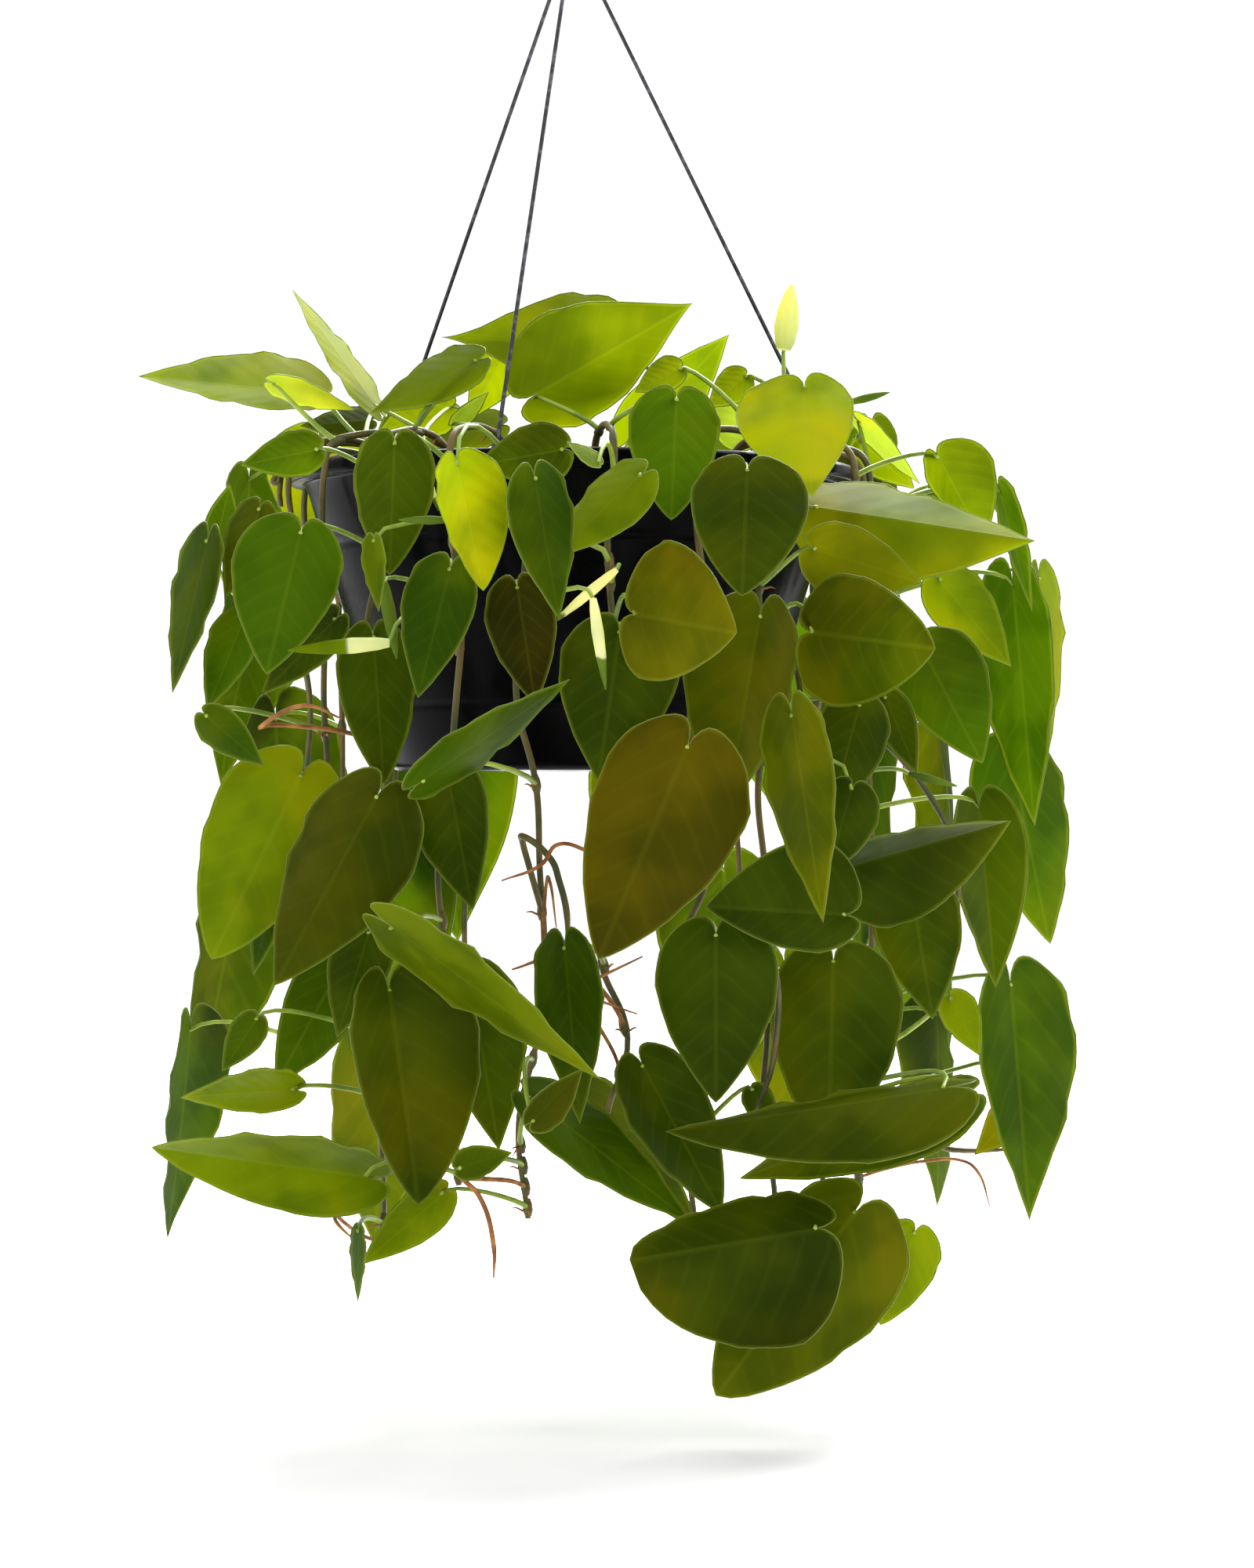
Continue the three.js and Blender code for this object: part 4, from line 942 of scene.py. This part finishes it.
def cutters():
    """The holes for the wires and for draining, as one mesh."""
    bm = bmesh.new()
    holes = [(ring(turn, WIRE_RING_R, RIM_Z - 3), WIRE_HOLE_R, 12, 24) for turn in WIRE_TURNS]
    for i in range(DRAIN_HOLES):
        middle = ring(360 / DRAIN_HOLES * i, DRAIN_RING_R, RIM_Z - POT_DEEP + 1.5)
        holes.append((middle, DRAIN_R, 7, 32))
    for middle, radius, deep, sides in holes:
        place = Matrix.Translation(Vector(middle) * MM)
        bmesh.ops.create_cone(bm, cap_ends=True, segments=sides, radius1=radius * MM, radius2=radius * MM,
                              depth=deep * MM, matrix=place)
    mesh = bpy.data.meshes.new("cutters")
    bm.to_mesh(mesh)
    bm.free()
    return bpy.data.objects.new("cutters", mesh)


class PLANT_PG_leaves(bpy.types.PropertyGroup):
    """How the blades are dressed"""

    fuller: bpy.props.FloatProperty(
        name="Fuller blades", description="Less than 1 keeps a blade full nearer to its drip tip",
        default=0.8, min=0.3, max=1.5, subtype="FACTOR")
    ruffle: bpy.props.FloatProperty(
        name="Edge ruffle", description="Height of the waves along a large blade's edge",
        default=0.0007, min=0, unit="LENGTH", subtype="DISTANCE")
    margin: bpy.props.FloatProperty(
        name="Margin", description="Thickness of the pale edge round a blade",
        default=0.00045, min=0.0001, unit="LENGTH", subtype="DISTANCE")


class PLANT_PG_pot(bpy.types.PropertyGroup):
    """How the pot and its soil are dressed"""

    rounding: bpy.props.FloatProperty(
        name="Edge rounding", description="Radius that the pot's edges are moulded with",
        default=0.0012, min=0, unit="LENGTH", subtype="DISTANCE")
    crumbs: bpy.props.IntProperty(
        name="Bark crumbs", description="Number of bark crumbs on the soil", default=150, min=0)
    roughness: bpy.props.FloatProperty(
        name="Soil roughness", description="Height of the lumps in the soil's surface",
        default=0.0016, min=0, unit="LENGTH", subtype="DISTANCE")


class PLANT_PG_stage(bpy.types.PropertyGroup):
    """The light and the floor"""

    drop: bpy.props.FloatProperty(
        name="Floor drop", description="Distance from the hook down to the floor",
        default=0.612, min=0.6, unit="LENGTH", subtype="DISTANCE")
    key_power: bpy.props.FloatProperty(
        name="Key power", description="Power of the large light above and behind the plant",
        default=110, min=0, unit="POWER")
    surround: bpy.props.FloatProperty(
        name="Surround", description="Brightness of the white surround, 1 for paper white",
        default=1.12, min=0, subtype="FACTOR")


class PLANT_OT_foliage(bpy.types.Operator):
    """Build every leafy stem: blades, margins, stalks, stems and roots"""

    bl_idname = "plant.foliage"
    bl_label = "Leafy stems"

    def execute(self, context):
        materials = vine_materials()
        for k, stem in enumerate(lay_out_plant()):
            build_vine(k, stem, materials, context.scene.plant_leaves)
        return {"FINISHED"}


class PLANT_OT_pot(bpy.types.Operator):
    """Build the moulded pot with its rolled rim and holes"""

    bl_idname = "plant.pot"
    bl_label = "Pot"

    def execute(self, context):
        inside = POT_RIM_R - POT_LIP
        wall = [(0, -POT_DEEP), (POT_BASE_R - 14, -POT_DEEP), (POT_BASE_R - 3, -POT_DEEP)]
        wall.append((POT_BASE_R, -POT_DEEP + 2))
        for share in (0.2, 0.22, 0.24, 0.8, 0.82, 0.84):
            groove = 0.5 if share in (0.22, 0.82) else 0
            wall.append((POT_BASE_R + (inside - 2 - POT_BASE_R) * share - groove,
                         -POT_DEEP + 2 + (POT_DEEP - POT_LIP_DEEP - 8) * share))
        wall += [(inside - 2, -POT_LIP_DEEP - 6), (inside, -POT_LIP_DEEP), (POT_RIM_R - 1, -POT_LIP_DEEP)]
        wall += [(POT_RIM_R, -POT_LIP_DEEP + 1.5), (POT_RIM_R, -1.5), (POT_RIM_R - 1.5, 0)]
        wall.append((inside - POT_WALL, 0))
        floor = -POT_DEEP + POT_WALL + 1
        wall += [(inside - 2 - POT_WALL, -POT_LIP_DEEP - 6), (POT_BASE_R - POT_WALL, floor)]
        wall += [(DRAIN_RING_R, floor), (0, floor)]
        bm = bmesh.new()
        spin_profile(bm, rounded(wall, context.scene.plant_pot.rounding / MM), RIM_Z, 96)
        pot = new_piece("pot_moulded", bm, [plastic_material()], ["pot"])
        cutter = cutters()
        context.scene.collection.objects.link(cutter)
        holes = pot.modifiers.new("holes", "BOOLEAN")
        holes.operation = "DIFFERENCE"
        holes.solver = "EXACT"
        holes.object = cutter
        evaluated = pot.evaluated_get(context.evaluated_depsgraph_get())
        bored = bpy.data.meshes.new_from_object(evaluated)
        pot.modifiers.clear()
        pot.data = bored
        bpy.data.objects.remove(cutter)
        pot.data.set_sharp_from_angle(angle=math.radians(35))
        return {"FINISHED"}


class PLANT_OT_soil(bpy.types.Operator):
    """Build the soil with its lumps and bark crumbs"""

    bl_idname = "plant.soil"
    bl_label = "Soil"

    def execute(self, context):
        settings = context.scene.plant_pot
        edge = POT_RIM_R - POT_LIP - 2 - POT_WALL - 0.6
        foot = -POT_DEEP + POT_WALL + 1.3
        top = [(edge * i / 22, -SOIL_BELOW_RIM + SOIL_CROWN * (1 - (i / 22) ** 3)) for i in range(22, -1, -1)]
        bm = bmesh.new()
        spin_profile(bm, [(0, foot), (POT_BASE_R - POT_WALL - 0.6, foot), *top], RIM_Z, 96)
        for vert in bm.verts:
            r = math.hypot(vert.co.x, vert.co.y) / MM
            if vert.co.z > (RIM_Z - SOIL_BELOW_RIM - 0.5) * MM and r < edge - 2:
                lump = noise.fractal(vert.co * 120, 0.7, 2.1, 4)
                vert.co.z += settings.roughness * lump
        draw = Draws(77)
        for _ in range(settings.crumbs):
            r, turn = edge * math.sqrt(draw(0, 0.93)), draw(0, 360)
            size = draw(0.9, 2.6)
            height = RIM_Z - SOIL_BELOW_RIM + SOIL_CROWN * (1 - (r / edge) ** 3) + 0.2 * size
            place = Matrix.Translation(Vector(ring(turn, r, height)) * MM)
            turned = Matrix.Rotation(draw(0, 6.28), 4, Vector((draw(-1, 1), draw(-1, 1), draw(0.1, 1))))
            squash = Matrix.Diagonal((size * draw(0.8, 1.6), size, size * draw(0.35, 0.7), 1))
            place = place @ turned @ squash @ Matrix.Scale(MM, 4)
            crumb = bmesh.ops.create_icosphere(bm, subdivisions=1, radius=1, matrix=place)["verts"]
            for face in {face for vert in crumb for face in vert.link_faces}:
                face.material_index = 1
        new_piece("soil_surface", bm, soil_materials(), ["soil"], smooth=False)
        return {"FINISHED"}


class PLANT_OT_hanger(bpy.types.Operator):
    """Build the three wires, the ferrule that gathers them and the hook"""

    bl_idname = "plant.hanger"
    bl_label = "Hanger"

    def execute(self, context):
        material = wire_material()

        def add(name, points, radii, node):
            bm = bmesh.new()
            bm.from_mesh(tube_mesh([("AUTO", points, radii, False)], sides=4, steps=8))
            new_piece(name, bm, [material], [node])

        for i, turn in enumerate(WIRE_TURNS):
            points = [wire_at(turn, share) for share in (WIRE_TOP, 0.1, 0.5, 0.9)] + wire_hook(turn)
            add(f"wire_{i + 1}_drawn", points, [WIRE_R] * len(points), f"hanger_wire_{i + 1}")
        middle = HOOK_WIRE_R - HOOK_R
        points = [(-HOOK_R - 1, 0, middle - 12), (-HOOK_R, 0, middle - 4)]
        for degrees in (165, 135, 105, 75, 45, 15):
            a = math.radians(degrees)
            points.append((HOOK_R * math.cos(a), 0, middle + HOOK_R * math.sin(a)))
        points += [(HOOK_R, 0, middle - 5), (9, 0, middle - 17), (2, 0, middle - 25), (0, 0, middle - 33)]
        points.append((0, 0, -APEX_DROP + 0.6))
        radii = [HOOK_WIRE_R * (0.8 if i == 0 else 1) for i in range(len(points))]
        add("hook_bent", points, radii, "hanger_hook")
        wide, narrow = FERRULE_R
        outline = [(0, 0), (wide, 0), (wide, 5), (narrow, FERRULE_LONG - 3), (narrow - 1, FERRULE_LONG)]
        outline.append((0, FERRULE_LONG))
        bm = bmesh.new()
        spin_profile(bm, rounded(outline, 1.0), -APEX_DROP - 14, 48)
        ferrule = new_piece("ferrule_turned", bm, [material], ["hanger_ferrule"])
        ferrule.data.set_sharp_from_angle(angle=math.radians(35))
        return {"FINISHED"}


class PLANT_OT_stage(bpy.types.Operator):
    """Build the pale floor, the soft light and the camera"""

    bl_idname = "plant.stage"
    bl_label = "Stage"

    def execute(self, context):
        scene, settings = context.scene, context.scene.plant_stage
        bm = bmesh.new()
        place = Matrix.Translation((0, 0, -settings.drop))
        bmesh.ops.create_circle(bm, cap_ends=True, segments=96, radius=6, matrix=place)
        mesh = bpy.data.meshes.new("floor")
        bm.to_mesh(mesh)
        bm.free()
        material, add = new_material("Floor_paint_matt_white")
        add(OUTPUT, (add(SKIN, {"Base Color": (0.92, 0.92, 0.92, 1), "Roughness": 0.95}),))
        mesh.materials.append(material)
        floor = bpy.data.objects.new("floor", mesh)
        scene.collection.objects.link(floor)
        world = bpy.data.worlds.new("studio")
        world.use_nodes = True
        world.node_tree.nodes["Background"].inputs["Color"].default_value = (1, 1, 1, 1)
        world.node_tree.nodes["Background"].inputs["Strength"].default_value = settings.surround
        scene.world = world
        light = bpy.data.lights.new("key", "AREA")
        light.energy = settings.key_power
        light.size = 1.6
        lamp = bpy.data.objects.new("key", light)
        lamp.location = (0.35, 1.1, 0.95)
        lamp.rotation_euler = (Vector((0, 0, -0.38)) - lamp.location).to_track_quat("-Z", "Y").to_euler()
        scene.collection.objects.link(lamp)
        camera = bpy.data.cameras.new("camera")
        camera.sensor_fit = "VERTICAL"
        camera.sensor_height = 24
        camera.lens = 60
        camera.shift_x = 0.035
        camera.clip_end = 50
        holder = bpy.data.objects.new("camera", camera)
        holder.location = (0, -VIEW * MM, EYE_Z * MM)
        holder.rotation_euler = (math.radians(90), 0, 0)
        scene.collection.objects.link(holder)
        scene.camera = holder
        scene.view_settings.view_transform = "Standard"
        return {"FINISHED"}


class PLANT_PT_parts(bpy.types.Panel):
    """Lists the plant's pieces and their settings"""

    bl_label = "Hanging philodendron"
    bl_space_type = "VIEW_3D"
    bl_region_type = "UI"
    bl_category = "Plant"

    def draw(self, context):
        for operator in OPERATORS:
            self.layout.operator(operator.bl_idname)
        for group in (context.scene.plant_leaves, context.scene.plant_pot, context.scene.plant_stage):
            box = self.layout.box()
            for name in group.bl_rna.properties.keys():
                if name not in ("rna_type", "name"):
                    box.prop(group, name)


GROUPS = {"plant_leaves": PLANT_PG_leaves, "plant_pot": PLANT_PG_pot, "plant_stage": PLANT_PG_stage}
OPERATORS = (PLANT_OT_foliage, PLANT_OT_pot, PLANT_OT_soil, PLANT_OT_hanger, PLANT_OT_stage)


def register():
    for kind in (*GROUPS.values(), *OPERATORS, PLANT_PT_parts):
        bpy.utils.register_class(kind)
    for name, group in GROUPS.items():
        setattr(bpy.types.Scene, name, bpy.props.PointerProperty(type=group))


def unregister():
    for name in GROUPS:
        delattr(bpy.types.Scene, name)
    for kind in (PLANT_PT_parts, *reversed(OPERATORS), *reversed(GROUPS.values())):
        bpy.utils.unregister_class(kind)


def main():
    register()
    bpy.ops.plant.foliage()
    bpy.ops.plant.pot()
    bpy.ops.plant.soil()
    bpy.ops.plant.hanger()
    bpy.ops.plant.stage()


if __name__ == "__main__":
    main()
